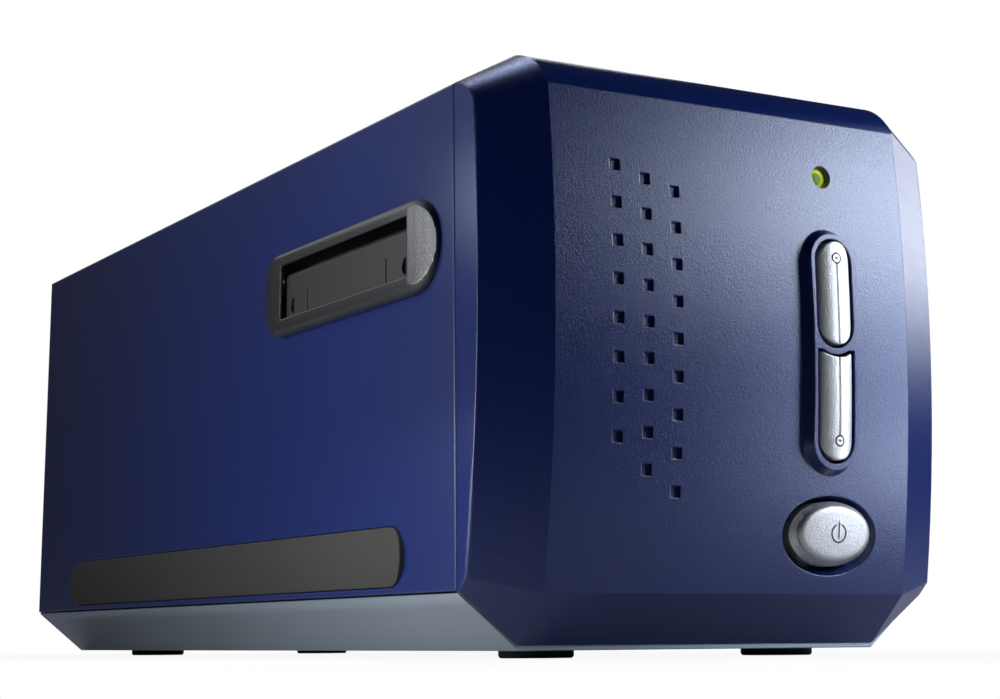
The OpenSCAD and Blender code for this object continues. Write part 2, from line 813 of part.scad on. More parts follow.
// --- Slot surrounds, dust doors and grip strips ------------------------------------------
surround_r = slot_half.y + surround_rim;
surround_l = slot_l + 2 * surround_end + surround_extra;
surround_edge = 2.4;        // radius of the surround's outer edge
surround_face = half_w + surround_h;
spigot_d = 5.1;             // how far the spigot reaches into the case
spigot_x = half_w - spigot_d;
lip_depth = 1;              // thickness of the surround's face round the slot
door_gap = 0.4;             // gap between a dust door and the surround
door_side = 0.7;            // gap at each end of a dust door
cavity_half = [slot_half.x + 1, slot_half.y + fit];
cavity_top = slot_half.y + 1;
barrel_wall = 0.6;          // wall of the door's hinge barrel
barrel_out_r = pin_r + run + barrel_wall;
hinge_drop = 1.7;           // how far the upper edge of a door lies below that of the slot
hinge_x = surround_face - lip_depth - door_gap - barrel_out_r;
hinge_z = slot_z + slot_half.y - hinge_drop - barrel_out_r;
door_l = slot_l - 2 * door_side;
door_face_x = hinge_x + barrel_out_r;
door_low_z = slot_z - slot_half.y + door_gap;
pin_hold = 0.7;             // how far a pin's end reaches into the surround
pin_l = 2 * (cavity_half.x + pin_hold);
notch_r = 1.9;              // half-round notches near the two ends of a dust door
notch_y = 27.2;
notch_drop = 3.4;           // how far the notches lie below the slot's middle
notch_depth = 0.9;
slit_y = 19.2;              // fine slits that rise from the door's lower edge
slit_w = 0.5;
slit_h = 5.4;

// Half the profile of a pad with a rounded upper edge
module pad_profile(r, h, edge) {
  square([r - edge, h]);
  square([r, h - edge]);
  translate([r - edge, h - edge]) intersection() {
    circle(edge);
    square(edge);
  }
}

// A stadium with a rounded upper edge, lying in the XY plane along X
module rounded_pad(l, r, h, edge) {
  for (s = [-1, 1])
    translate([s * (l / 2 - r), 0, 0]) rotate_extrude() pad_profile(r, h, edge);
  translate([-l / 2 + r, 0, 0]) rotate([90, 0, 90]) linear_extrude(l - 2 * r) {
    pad_profile(r, h, edge);
    mirror([1, 0]) pad_profile(r, h, edge);
  }
}

// Turns a piece drawn flat, with its length on X, to stand on the right side wall
module on_side(x) {
  translate([x, slot_mid_y, slot_z]) rotate([90, 0, 90]) children();
}

module slot_surround() {
  color("#2e2f31")
  difference() {
    union() {
      translate([0, surround_extra / 2, 0])
        on_side(half_w) rounded_pad(surround_l, surround_r, surround_h, surround_edge);
      block([spigot_x, slot_mid_y - spigot_half.x, slot_z - spigot_half.y],
            [half_w + eps, slot_mid_y + spigot_half.x, slot_z + spigot_half.y]);
    }
    block([spigot_x - eps, slot_mid_y - slot_half.x, slot_z - slot_half.y],
          [case_w, slot_mid_y + slot_half.x, slot_z + slot_half.y]);
    block([spigot_x - eps, slot_mid_y - cavity_half.x, slot_z - cavity_half.y],
          [surround_face - lip_depth, slot_mid_y + cavity_half.x, slot_z + cavity_top]);
    rod_y(pin_r + skin, hinge_x, hinge_z, slot_mid_y - pin_l / 2, slot_mid_y + spigot_half.x + eps);
  }
}

// Half-round notch with its straight side towards the front
module notch(y) {
  intersection() {
    rod_x(notch_r, y, slot_z - notch_drop, door_face_x - notch_depth, surround_face);
    block([door_face_x - door_t, y, slot_z - slot_h], [surround_face, y + notch_r + eps, slot_z]);
  }
}

module dust_door() {
  color("#262728")
  difference() {
    union() {
      rod_y(barrel_out_r, hinge_x, hinge_z, slot_mid_y - door_l / 2, slot_mid_y + door_l / 2);
      block([door_face_x - door_t, slot_mid_y - door_l / 2, door_low_z],
            [door_face_x, slot_mid_y + door_l / 2, hinge_z]);
    }
    rod_y(pin_r + run, hinge_x, hinge_z, slot_mid_y - door_l, slot_mid_y + door_l);
    for (s = [-1, 1]) {
      notch(slot_mid_y + s * notch_y - notch_r / 2);
      block([door_face_x - notch_depth, slot_mid_y + s * slit_y - slit_w / 2, door_low_z - eps],
            [surround_face, slot_mid_y + s * slit_y + slit_w / 2, door_low_z + slit_h]);
    }
  }
}

module hinge_pin() {
  color("#b9bcc0")
  rod_y(pin_r, hinge_x, hinge_z, slot_mid_y - pin_l / 2 + fit / 2, slot_mid_y + pin_l / 2);
}

strip_edge = 0.15;          // how far the strip's long edges stand proud
strip_crown = strip_proud - strip_edge;
strip_crown_r = (pow(strip_h / 2, 2) + pow(strip_crown, 2)) / (2 * strip_crown);

module grip_strip() {
  color("#3a3b3d")
  intersection() {
    strip_form(0, strip_seat);
    rod_y(strip_crown_r, half_w + strip_proud - strip_crown_r, strip_z, front_y, back_y, $fn = fine);
  }
}

module left_slot_surround() { mirror([1, 0, 0]) slot_surround(); }
module right_slot_surround() { slot_surround(); }
module left_dust_door() { mirror([1, 0, 0]) dust_door(); }
module right_dust_door() { dust_door(); }
module left_hinge_pin() { mirror([1, 0, 0]) hinge_pin(); }
module right_hinge_pin() { hinge_pin(); }
module left_grip_strip() { mirror([1, 0, 0]) grip_strip(); }
module right_grip_strip() { grip_strip(); }

// --- Film gate and carriage: their shared sizes -------------------------------------------
gate_x = spigot_x - fit;
gate_rise = 0.8;            // height of the gate's ceiling above the slot's upper edge
gate_half_y = slot_half.x;
gate_top = slot_z + slot_half.y + gate_rise;
gate_back = slot_mid_y + gate_half_y + gate_t;
window = [40, 32];          // opening through which the film is scanned
leg_w = 5;
leg_y = 7;
leg_in = 1.5;               // how far the gate's legs stand inside its ends
scan_set = 17;              // distance of the home line of light behind the slot's middle
scan_y = slot_mid_y + scan_set;
bush_wall = 2;
bush_r = rod_r + bush_wall;
bush_proud = 0.5;           // how far the bushes stand out of their housings
plate_edge = 2;             // how far the carriage reaches past its bushes
plate_x = rod_x + bush_r + plate_edge;
deck_end = 30;              // distance of the deck's rear edge from the case's back edge
deck_start = 8;             // distance of its front edge behind the seam
deck_y = [seam_y + deck_start, back_y - deck_end];
upright_t = 4;
upright_in = 14;            // distance of the rear upright from the deck's rear edge
drive_l = 40;               // length behind the carriage for the motor and its pulley
rear_upright_y = deck_y[1] - upright_in;
plate_front = 11;           // how far the carriage reaches ahead of the line of light
plate_y = [scan_y - plate_front, rear_upright_y - drive_l];
house_l = 15;
house_wall = [1.8, 1.2];    // walls of the bush housings, beside and below
house_in = 32;              // distance of the rear bushes from the carriage's rear end
house_y = [scan_y + house_l, plate_y[1] - house_in];
column_gap = 2.9;           // gap between gate and columns at the end of the scan
column_w = 10.5;
column_y = [gate_back + scan_travel + column_gap, gate_back + scan_travel + column_gap + column_w];
column_t = 8;
arm_t = 8;                  // thickness of the arm that carries the light bar
arm_gap = 4;                // gap between the film gate and the arm
arm_z = [gate_top + gate_t + arm_gap, gate_top + gate_t + arm_gap + arm_t];
light_w = 10;
light_deep = 4;             // how deep the light bar lies in the arm
light_proud = 1.2;
mirror_l = 44;
mirror_h = 19;
mirror_t = 2;
cheek_t = 2.5;
cheek_y = [10, 9];          // reach of the mirror's cheeks, ahead and behind
cheek_top = 8.5;
lens_set = 40;              // distance of the lens barrel behind the line of light
lens_l = 26;
lens_y = [scan_y + lens_set, scan_y + lens_set + lens_l];
holder_wall = 3;            // wall of the block that holds the lens barrel
holder_top = gate_low - 1.9;
sensor_wall = 3;
sensor_in = 5;              // distance of the sensor board from the carriage's rear end
sensor_y = plate_y[1] - sensor_in;
sensor_half = [25, 11];     // half width and height of the sensor board above the optics
chip_half = [19, 4];
chip_t = 2.5;
path_half = [20, 5];        // half size of the light's way through the sensor wall

// --- Chassis and guide rods ------------------------------------------------------------------
deck_inset = 2.9;           // gap between the deck and the tray's tongue
deck_x = half_w - wall - tongue_t - deck_inset;
upright_y = [plate_y[0] - scan_travel - upright_t / 2, rear_upright_y];
upright_edge = [4, 3.5];    // how far the uprights reach past the rods, beside and above
upright_top = rod_z + rod_r + upright_edge.y;
upright_x = rod_x + rod_r + upright_edge.x;
rod_end = 2;                // how far the rods stand out of the uprights
belt_in = 16;               // distance of the pulleys from the uprights
belt_y = [upright_y[0] + belt_in, upright_y[1] - belt_in];
belt_w = 6;
belt_t = 0.8;
pulley_w = belt_w + 1;
ear_gap = 2.5;              // gap between the belt and the ears beside it
ear_x = belt_w / 2 + ear_gap;
ear_t = 2;
ear_half = [5, 4];          // half length and rise of the idler's ears
motor_r = 11;
motor_l = 17;
motor_x = [ear_x + ear_t, ear_x + ear_t + motor_l];
motor_edge = 1;             // how far the motor's wall reaches past the motor
pilot_r = 2.9;              // radius of the motor's pilot boss
pilot_in = 1.6;             // how far the boss reaches into the motor's wall
shaft_r = 1;
rail_w = 2.5;
rail_h = 5;
rail_in = 1.5;              // how far the rails lie inside the deck's edge
cable_x = [-20, -8];        // window in the deck for the cables to the main board
cable_y = [26, 12];         // its distance ahead of the rear posts

module chassis() {
  color("#6c7278")
  difference() {
    union() {
      block([-deck_x, deck_y[0], post_top], [deck_x, deck_y[1], deck_top]);
      for (y = upright_y)
        block([-upright_x, y - upright_t / 2, deck_top - deck_t / 2],
              [upright_x, y + upright_t / 2, upright_top]);
      both_sides()
        for (y = post_y)
          translate([post_x, y, post_top]) cylinder(r = post_r, h = deck_t + post_cap);
      // ears of the idler
      both_sides()
        block([ear_x, belt_y[0] - ear_half.x, deck_top - deck_t / 2],
              [ear_x + ear_t, belt_y[0] + ear_half.x, rod_z + ear_half.y]);
      // wall of the motor
      block([ear_x, belt_y[1] - motor_r - motor_edge, deck_top - deck_t / 2],
            [ear_x + ear_t, belt_y[1] + motor_r + motor_edge, rod_z + motor_r + motor_edge]);
      // rails under the deck
      both_sides()
        block([deck_x - rail_in - rail_w, deck_y[0], post_top - rail_h],
              [deck_x - rail_in, deck_y[1], post_top + deck_t / 2]);
    }
    both_sides() {
      rod_y(rod_r + skin, rod_x, rod_z, front_y, back_y);
      for (y = post_y)
        translate([post_x, y, 0]) cylinder(r = base_screw_r + skin, h = case_h);
    }
    rod_x(shaft_r + skin, belt_y[0], rod_z, -2 * ear_x, 2 * ear_x);
    rod_x(pilot_r + run, belt_y[1], rod_z, 0, 2 * ear_x);
    block([cable_x[0], post_y[1] - cable_y[0], 0], [cable_x[1], post_y[1] - cable_y[1], case_h]);
  }
}

module guide_rods() {
  color("#d4d6d8")
  both_sides()
    rod_y(rod_r, rod_x, rod_z, upright_y[0] - upright_t / 2 - rod_end,
          upright_y[1] + upright_t / 2 + rod_end);
}

module film_gate() {
  color("#1d1e20")
  difference() {
    union() {
      block([-gate_x, slot_mid_y - gate_half_y - gate_t, gate_low],
            [gate_x, gate_back, gate_top + gate_t]);
      both_sides()
        for (s = [-1, 1]) {
          y = slot_mid_y + s * (gate_half_y + gate_t - leg_y / 2);
          block([gate_x - leg_in - leg_w, y - leg_y / 2, deck_top],
                [gate_x - leg_in, y + leg_y / 2, gate_low + gate_t / 2]);
        }
    }
    block([-case_w, slot_mid_y - gate_half_y, gate_low + gate_t],
          [case_w, slot_mid_y + gate_half_y, gate_top]);
    block([-window.x / 2, slot_mid_y - window.y / 2, slot_z - slot_h],
          [window.x / 2, slot_mid_y + window.y / 2, slot_z + slot_h]);
  }
}

// --- Carriage ---------------------------------------------------------------------------------
clamp_w = belt_w + 2;       // width of the clamp on the belt
flag_t = 1;                 // thickness of the home sensor's flag
flag_l = 9;
flag_x = -17;
flag_low = 4;               // how far the flag reaches below the guide rods
fork_l = 10;                // length of the home sensor
fork_w = 10;
fork_gap = 3.6;             // gap of its fork
fork_deep = 6;              // depth of that gap
bar_half = light_w / 2;

module carriage() {
  color("#3b3f44")
  difference() {
    union() {
      // base plate with the four bush housings
      block([-plate_x, plate_y[0], plate_z[0]], [plate_x, plate_y[1], plate_z[1]]);
      both_sides()
        for (y = house_y)
          block([rod_x - bush_r - house_wall.x, y - house_l / 2, rod_z - bush_r - house_wall.y],
                [rod_x + bush_r + house_wall.x, y + house_l / 2, plate_z[0] + plate_t / 2]);
      // two columns and the arm that reaches over the film gate
      both_sides()
        block([plate_x - column_t, column_y[0], plate_z[0]], [plate_x, column_y[1], arm_z[1]]);
      block([-plate_x, scan_y - plate_front - 1, arm_z[0]], [plate_x, column_y[1], arm_z[1]]);
      // cheeks of the mirror
      both_sides()
        block([mirror_l / 2 + fit, scan_y - cheek_y[0], plate_z[0]],
              [mirror_l / 2 + fit + cheek_t, scan_y + cheek_y[1], optic_z + cheek_top]);
      // block that holds the lens
      block([-barrel_r - holder_wall, lens_y[0] + lens_l / 5, plate_z[0]],
            [barrel_r + holder_wall, lens_y[1] - lens_l / 5, holder_top]);
      // wall that carries the sensor board
      block([-sensor_half.x - 1, sensor_y - sensor_wall, plate_z[0]],
            [sensor_half.x + 1, sensor_y, optic_z + sensor_half.y + 1]);
      // clamp on the belt and flag of the home sensor
      block([-clamp_w / 2, column_y[0], rod_z + pulley_r + belt_t + fit],
            [clamp_w / 2, column_y[1], plate_z[0] + plate_t / 2]);
      block([flag_x - flag_t / 2, plate_y[1] - flag_l - 1, rod_z - flag_low],
            [flag_x + flag_t / 2, plate_y[1] - 1, plate_z[0] + plate_t / 2]);
    }
    both_sides()
      for (y = house_y)
        rod_y(bush_r + skin, rod_x, rod_z, y - house_l, y + house_l);
    rod_y(barrel_r + skin, 0, optic_z, lens_y[0], lens_y[1]);
    // light paths: through the sensor wall and into the arm's channel for the light bar
    block([-path_half.x, sensor_y - sensor_wall - 1, optic_z - path_half.y],
          [path_half.x, sensor_y + 1, optic_z + path_half.y]);
    block([-mirror_l / 2 - fit, scan_y - bar_half - fit, arm_z[0] - 1],
          [mirror_l / 2 + fit, scan_y + bar_half + fit, arm_z[0] + light_deep]);
  }
}

module rod_bushes() {
  reach = house_l / 2 + bush_proud;
  color("#b08a3c")
  both_sides()
    for (y = house_y)
      difference() {
        rod_y(bush_r, rod_x, rod_z, y - reach, y + reach);
        rod_y(rod_r + run, rod_x, rod_z, y - house_l, y + house_l);
      }
}

module light_bar() {
  color("#e8e6da")
  block([-mirror_l / 2, scan_y - bar_half, arm_z[0] - light_proud],
        [mirror_l / 2, scan_y + bar_half, arm_z[0] + light_deep - fit]);
}

module scan_mirror() {
  color("#c7d3dc")
  translate([-mirror_l / 2, scan_y, optic_z]) rotate([-45, 0, 0])
    translate([0, -mirror_h / 2, 0]) cube([mirror_l, mirror_h, mirror_t]);
}

module lens_barrel() {
  mouth = [2, 3];           // wall round the front and the rear recess of the barrel
  color("#101214")
  difference() {
    rod_y(barrel_r, 0, optic_z, lens_y[0], lens_y[1]);
    rod_y(barrel_r - mouth[0], 0, optic_z, lens_y[0] - eps, lens_y[0] + holder_wall);
    rod_y(barrel_r - mouth[1], 0, optic_z, lens_y[1] - holder_wall, lens_y[1] + eps);
  }
}

module sensor_board() {
  color("#1f5c3a")
  union() {
    block([-sensor_half.x, sensor_y, plate_z[1] + fit],
          [sensor_half.x, sensor_y + board_t, optic_z + sensor_half.y]);
    block([-chip_half.x, sensor_y - chip_t, optic_z - chip_half.y],
          [chip_half.x, sensor_y, optic_z + chip_half.y]);
  }
}

module drive_motor() {
  color("#8e9296")
  union() {
    rod_x(motor_r, belt_y[1], rod_z, motor_x[0], motor_x[1]);
    rod_x(pilot_r, belt_y[1], rod_z, motor_x[0] - pilot_in, motor_x[0]);
  }
}

module pulley(y) {
  rod_x(pulley_r, y, rod_z, -pulley_w / 2, pulley_w / 2);
}

module motor_pulley() {
  color("#d8d9d6")
  union() {
    pulley(belt_y[1]);
    rod_x(shaft_r, belt_y[1], rod_z, -pulley_w / 2 - 1, motor_x[0] - pilot_in - fit);
  }
}

module idler_pulley() {
  color("#d8d9d6")
  difference() {
    pulley(belt_y[0]);
    rod_x(shaft_r + run, belt_y[0], rod_z, -pulley_w, pulley_w);
  }
}

module idler_pin() {
  reach = ear_x + ear_t + eps;
  color("#b9bcc0")
  rod_x(shaft_r, belt_y[0], rod_z, -reach, reach);
}

module belt_outline(r) {
  for (y = belt_y)
    translate([y, rod_z]) circle(r);
  translate([belt_y[0], rod_z - r]) square([belt_y[1] - belt_y[0], 2 * r]);
}

module drive_belt() {
  color("#1a1a1a")
  along_x(-belt_w / 2, belt_w / 2)
    difference() {
      belt_outline(pulley_r + run + belt_t);
      belt_outline(pulley_r + run);
    }
}

module home_sensor() {
  y = plate_y[1] - flag_l - 3;
  color("#202124")
  difference() {
    block([flag_x - fork_w / 2, y, deck_top], [flag_x + fork_w / 2, y + fork_l, rod_z]);
    block([flag_x - fork_gap / 2, y - eps, rod_z - fork_deep],
          [flag_x + fork_gap / 2, y + fork_l + eps, rod_z + eps]);
  }
}

chip_size = [20, 20, 2];        // scan processor
chip_at = [-14, 60];            // its corner: across, and ahead of the board's rear edge
memory_size = [10, 14, 1.4];
memory_at = [14, 56];
cap_r = 4;                      // supply capacitor
cap_h = 9;
cap_at = [20, 26];

module main_board() {
  top = board_low + board_t;
  color("#1f5c3a")
  union() {
    block([-board_span.x, board_back - board_span.y, board_low], [board_span.x, board_back, top]);
    translate([chip_at.x, board_back - chip_at.y, top]) cube(chip_size);
    translate([memory_at.x, board_back - memory_at.y, top]) cube(memory_size);
    translate([cap_at.x, board_back - cap_at.y, top]) cylinder(r = cap_r, h = cap_h);
  }
}

module usb_socket() {
  mid_z = socket_z + usb_h / 2;
  color("#c3c6c9")
  difference() {
    block([usb_x - usb_w / 2, panel_face - usb_d, socket_z],
          [usb_x + usb_w / 2, panel_face, socket_z + usb_h]);
    block([usb_x - usb_w / 2 + usb_wall, panel_face - usb_deep, socket_z + usb_wall],
          [usb_x + usb_w / 2 - usb_wall, panel_face + eps, socket_z + usb_h - usb_wall]);
  }
  color("#e9e7df")
  block([usb_x - usb_tongue.x / 2, panel_face - usb_deep - 1, mid_z - usb_tongue.y / 2],
        [usb_x + usb_tongue.x / 2, panel_face - usb_tongue_in, mid_z + usb_tongue.y / 2]);
}

module power_inlet() {
  mid_z = socket_z + inlet_h / 2;
  color("#17181a")
  difference() {
    block([inlet_x - inlet_w / 2, panel_face - inlet_d, socket_z],
          [inlet_x + inlet_w / 2, panel_face, socket_z + inlet_h]);
    rod_y(inlet_bore_r, inlet_x, mid_z, panel_face - inlet_bore_l, panel_face + eps);
  }
  color("#d4d6d8")
  rod_y(inlet_pin_r, inlet_x, mid_z, panel_face - inlet_bore_l - 1, panel_face - 1);
}

top_cover();
front_bezel();
base_tray();
rear_panel();
foot(-foot_x[0], front_y + foot_in[0]);  // front_left_foot
foot(foot_x[0], front_y + foot_in[0]);  // front_right_foot
foot(-foot_x[1], back_y - foot_in[1]);  // rear_left_foot
foot(foot_x[1], back_y - foot_in[1]);  // rear_right_foot
left_slot_surround();
right_slot_surround();
left_dust_door();
right_dust_door();
left_hinge_pin();
right_hinge_pin();
left_grip_strip();
right_grip_strip();
upper_scan_button();
lower_scan_button();
power_button();
indicator_lens();
button_board();
button_board_screws();
chassis();
film_gate();
guide_rods();
carriage();
rod_bushes();
light_bar();
scan_mirror();
lens_barrel();
sensor_board();
drive_motor();
motor_pulley();
idler_pulley();
idler_pin();
drive_belt();
home_sensor();
main_board();
usb_socket();
power_inlet();
base_screws();
rear_screws();
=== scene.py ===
# %% [markdown]
# # A film negative scanner, dressed for its portrait
# The solids of the scanner are already built and packed. This lesson loads them as a fixed
# frame, in metres, and gives each moulding, key and screw the finish that the real one has.
# Everything stays where the frame says, so nothing here needs fitting.

# %% Load the frame
import math
import bpy
import bmesh
from mathutils import Matrix, Vector, geometry


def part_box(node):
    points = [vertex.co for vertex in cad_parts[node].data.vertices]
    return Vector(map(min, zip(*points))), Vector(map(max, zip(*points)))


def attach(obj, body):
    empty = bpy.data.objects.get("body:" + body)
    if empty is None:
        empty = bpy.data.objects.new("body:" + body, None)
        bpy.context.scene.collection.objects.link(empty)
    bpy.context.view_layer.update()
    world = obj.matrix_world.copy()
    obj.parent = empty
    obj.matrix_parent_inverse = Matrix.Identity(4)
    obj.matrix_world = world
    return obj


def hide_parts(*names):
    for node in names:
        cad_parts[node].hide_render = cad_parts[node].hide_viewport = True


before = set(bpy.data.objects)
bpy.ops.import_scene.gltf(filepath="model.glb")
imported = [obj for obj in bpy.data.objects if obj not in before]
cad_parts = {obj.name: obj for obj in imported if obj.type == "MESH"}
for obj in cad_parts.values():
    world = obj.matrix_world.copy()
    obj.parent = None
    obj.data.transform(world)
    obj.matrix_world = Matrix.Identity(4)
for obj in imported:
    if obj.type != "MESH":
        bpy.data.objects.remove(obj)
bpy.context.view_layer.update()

MM = 0.001
TINY = 1e-6

# %% [markdown]
# ## The camera
# A desk-top scanner looks its best from table height through a short telephoto lens, so that
# its long side wall doesn't balloon. A camera can be aimed with a constraint, or its matrix can
# be written from three angles. The matrix is chosen here, because the angles are known.

# %% Camera
YAW, PITCH, TILT = math.radians(29.65), math.radians(12.56), math.radians(-0.44)
STAND = (-0.24244, -0.45015, 0.00361)       # metres; the scanner's middle is at x = y = 0
FOCAL_MM, SENSOR_MM = 71.11, 36
SHIFT = (0.03, -0.1495)                     # right and up, as shares of the picture's width
NEAREST = 0.01

ahead = Vector((math.sin(YAW) * math.cos(PITCH), math.cos(YAW) * math.cos(PITCH), math.sin(PITCH)))
level = Vector((math.cos(YAW), -math.sin(YAW), 0))
upright = level.cross(ahead)
right = level * math.cos(TILT) + upright * math.sin(TILT)
up = upright * math.cos(TILT) - level * math.sin(TILT)

lens = bpy.data.cameras.new("portrait_lens")
lens.sensor_width = SENSOR_MM
lens.lens = FOCAL_MM
lens.shift_x, lens.shift_y = SHIFT
lens.clip_start = NEAREST
camera = bpy.data.objects.new("portrait_camera", lens)
rows = [(right[k], up[k], -ahead[k], STAND[k]) for k in range(3)]
camera.matrix_world = Matrix(rows + [(0, 0, 0, 1)])
bpy.context.scene.collection.objects.link(camera)
bpy.context.scene.camera = camera
print("camera at", [round(v, 3) for v in camera.matrix_world.translation])

# %% [markdown]
# ## Small helpers for materials
# Colours are written as the hex values that a paint chart gives, and turned to the linear light
# that the renderer adds up. One function adds a shader node, sets it and links it.

# %% Colour and node helpers
def linear(hex_value):
    """The sRGB curve, undone: a straight foot and then a power."""
    parts = [int(hex_value[i:i + 2], 16) / 255 for i in (1, 3, 5)]
    return tuple(p / 12.92 if p <= 0.04045 else ((p + 0.055) / 1.055) ** 2.4 for p in parts) + (1,)


def add(tree, kind, inputs=None, **settings):
    node = tree.nodes.new(kind)
    for name, value in settings.items():
        setattr(node, name, value)
    for socket, value in (inputs or {}).items():
        if isinstance(value, bpy.types.NodeSocket):
            tree.links.new(value, node.inputs[socket])
        else:
            node.inputs[socket].default_value = value
    return node


def new_material(name):
    material = bpy.data.materials.new(name)
    material.use_nodes = True
    material.node_tree.nodes.clear()
    return material, material.node_tree


WHITE = (1, 1, 1, 1)
print("navy in linear light:", [round(c, 3) for c in linear("#071d57")])

# %% [markdown]
# ## Studio
# Small products are shot on a white sweep in a dark room. The sweep rises behind the scanner, so
# a glossy facet that looks to the back shows grey, and one that looks past the camera shows the
# dark room. A real backdrop could be modelled, but it would also light the object. So the room is
# a world shader that asks in which direction a reflection leaves.

# %% World
scene = bpy.context.scene
scene.view_settings.view_transform = "Standard"

ROOM_LIGHT = 0.04       # what the room adds to matt surfaces
DARK_ROOM = 0.008       # what a reflection finds on the sweep's darkest side
# Each ramp turns one part of the direction (x right, y to the back, z up) into a brightness
BACK_RAMP = {"From Min": 0.1, "From Max": 0.8}
LEFT_RAMP = {"From Min": -0.22, "From Max": -0.56, "To Min": 0.01, "To Max": 0.13}
UP_RAMP = {"From Min": 0.25, "From Max": 0.45, "To Min": 0.0, "To Max": 0.9}
UP_FADE = {"From Min": 0.5, "From Max": -0.2}

world = bpy.data.worlds.new("studio")
world.use_nodes = True
scene.world = world
tree = world.node_tree
tree.nodes.clear()
rays = add(tree, "ShaderNodeLightPath")
room = add(tree, "ShaderNodeTexCoord")
way = add(tree, "ShaderNodeSeparateXYZ", {0: room.outputs["Generated"]})
to_back = add(tree, "ShaderNodeMapRange", {"Value": way.outputs["Y"], **BACK_RAMP},
              interpolation_type="SMOOTHSTEP")
to_left = add(tree, "ShaderNodeMapRange", {"Value": way.outputs["X"], **LEFT_RAMP})
upward = add(tree, "ShaderNodeMapRange", {"Value": way.outputs["Z"], **UP_RAMP},
             interpolation_type="SMOOTHSTEP")
leftward = add(tree, "ShaderNodeMapRange", {"Value": way.outputs["X"], **UP_FADE},
               interpolation_type="SMOOTHSTEP")
lifted = add(tree, "ShaderNodeMath", {0: upward.outputs["Result"], 1: leftward.outputs["Result"],
                                      2: to_left.outputs["Result"]}, operation="MULTIPLY_ADD")
sheen = add(tree, "ShaderNodeMath",
            {0: to_back.outputs["Result"], 1: lifted.outputs[0], 2: DARK_ROOM},
            operation="MULTIPLY_ADD")
glossy = add(tree, "ShaderNodeMath", {0: rays.outputs["Is Glossy Ray"], 1: sheen.outputs[0]},
             operation="MULTIPLY")
seen = add(tree, "ShaderNodeMath",
           {0: rays.outputs["Is Camera Ray"], 1: rays.outputs["Is Transmission Ray"]},
           operation="MAXIMUM")
shown = add(tree, "ShaderNodeMath", {0: seen.outputs[0], 1: glossy.outputs[0]}, operation="ADD")
soft = add(tree, "ShaderNodeMath",
           {0: rays.outputs["Is Diffuse Ray"], 1: ROOM_LIGHT, 2: shown.outputs[0]},
           operation="MULTIPLY_ADD")
sky = add(tree, "ShaderNodeBackground", {"Color": WHITE, "Strength": soft.outputs[0]})
add(tree, "ShaderNodeOutputWorld", {"Surface": sky.outputs[0]})
print("world: white to the camera, graded for reflections,", ROOM_LIGHT, "for diffuse light")

# %% [markdown]
# ## The paper floor
# White paper that falls away to pure white. Close to the scanner the paper is shown partly as it
# is lit, so the shadow stays; farther out it only glows, so no edge or horizon is drawn. The
# change is tied to a distance on the floor in metres.

# %% Floor
FLOOR_HALF = 4.0
SHADE_SHAPE = (1.0, 0.62, 1.0)      # the shaded patch is longer than wide, as the scanner is
SHADE_RAMP = {"From Min": 0.07, "From Max": 0.2, "To Min": 0.92, "To Max": 1.0}

floor_mesh = bpy.data.meshes.new("studio_floor")
corners = [(x * FLOOR_HALF, y * FLOOR_HALF, 0) for x, y in ((-1, -1), (1, -1), (1, 1), (-1, 1))]
floor_mesh.from_pydata(corners, [], [(0, 1, 2, 3)])
floor = bpy.data.objects.new("studio_floor", floor_mesh)
scene.collection.objects.link(floor)

sweep, tree = new_material("white_paper_sweep")
rays = add(tree, "ShaderNodeLightPath")
spot = add(tree, "ShaderNodeTexCoord")
near = add(tree, "ShaderNodeVectorMath", {0: spot.outputs["Object"], 1: SHADE_SHAPE},
           operation="MULTIPLY")
far_off = add(tree, "ShaderNodeVectorMath", {0: near.outputs[0]}, operation="LENGTH")
fall = add(tree, "ShaderNodeMapRange", {"Value": far_off.outputs["Value"], **SHADE_RAMP},
           interpolation_type="SMOOTHSTEP")
share = add(tree, "ShaderNodeMath",
            {0: rays.outputs["Is Camera Ray"], 1: fall.outputs["Result"]}, operation="MULTIPLY")
paper = add(tree, "ShaderNodeBsdfDiffuse", {"Color": linear("#b2b2b2")})
glow = add(tree, "ShaderNodeEmission", {"Color": WHITE, "Strength": 1.0})
mixed = add(tree, "ShaderNodeMixShader",
            {0: share.outputs[0], 1: paper.outputs[0], 2: glow.outputs[0]})
add(tree, "ShaderNodeOutputMaterial", {"Surface": mixed.outputs[0]})
floor.data.materials.append(sweep)
print("paper floor of", 2 * FLOOR_HALF, "m")

# %% [markdown]
# ## Soft boxes
# A glossy facet shows the box that lies in its mirror direction, so each box is placed for a
# facet, close by and with little power. Five boxes at the front right draw the sheen on the
# pebbled face, and two far to the right fill the right cheek. On the left, two light the front
# end of the side wall, a small one picks out the rim of the slot, one lights the wall low down
# and one the floor beside the tray. All of these stand behind the face, so that the left edge of
# the face stays dark. The last two lift the top and the back off the dark room.

# %% Lamps
FACE, CHEEK = (0.03, -0.134, 0.07), (0.05, -0.12, 0.08)
DAYLIGHT, SKYLIGHT, HAZE, SHADE, ZENITH = "#eaf6ff", "#dae6ff", "#f4faff", "#eef2ff", "#c8d4ff"
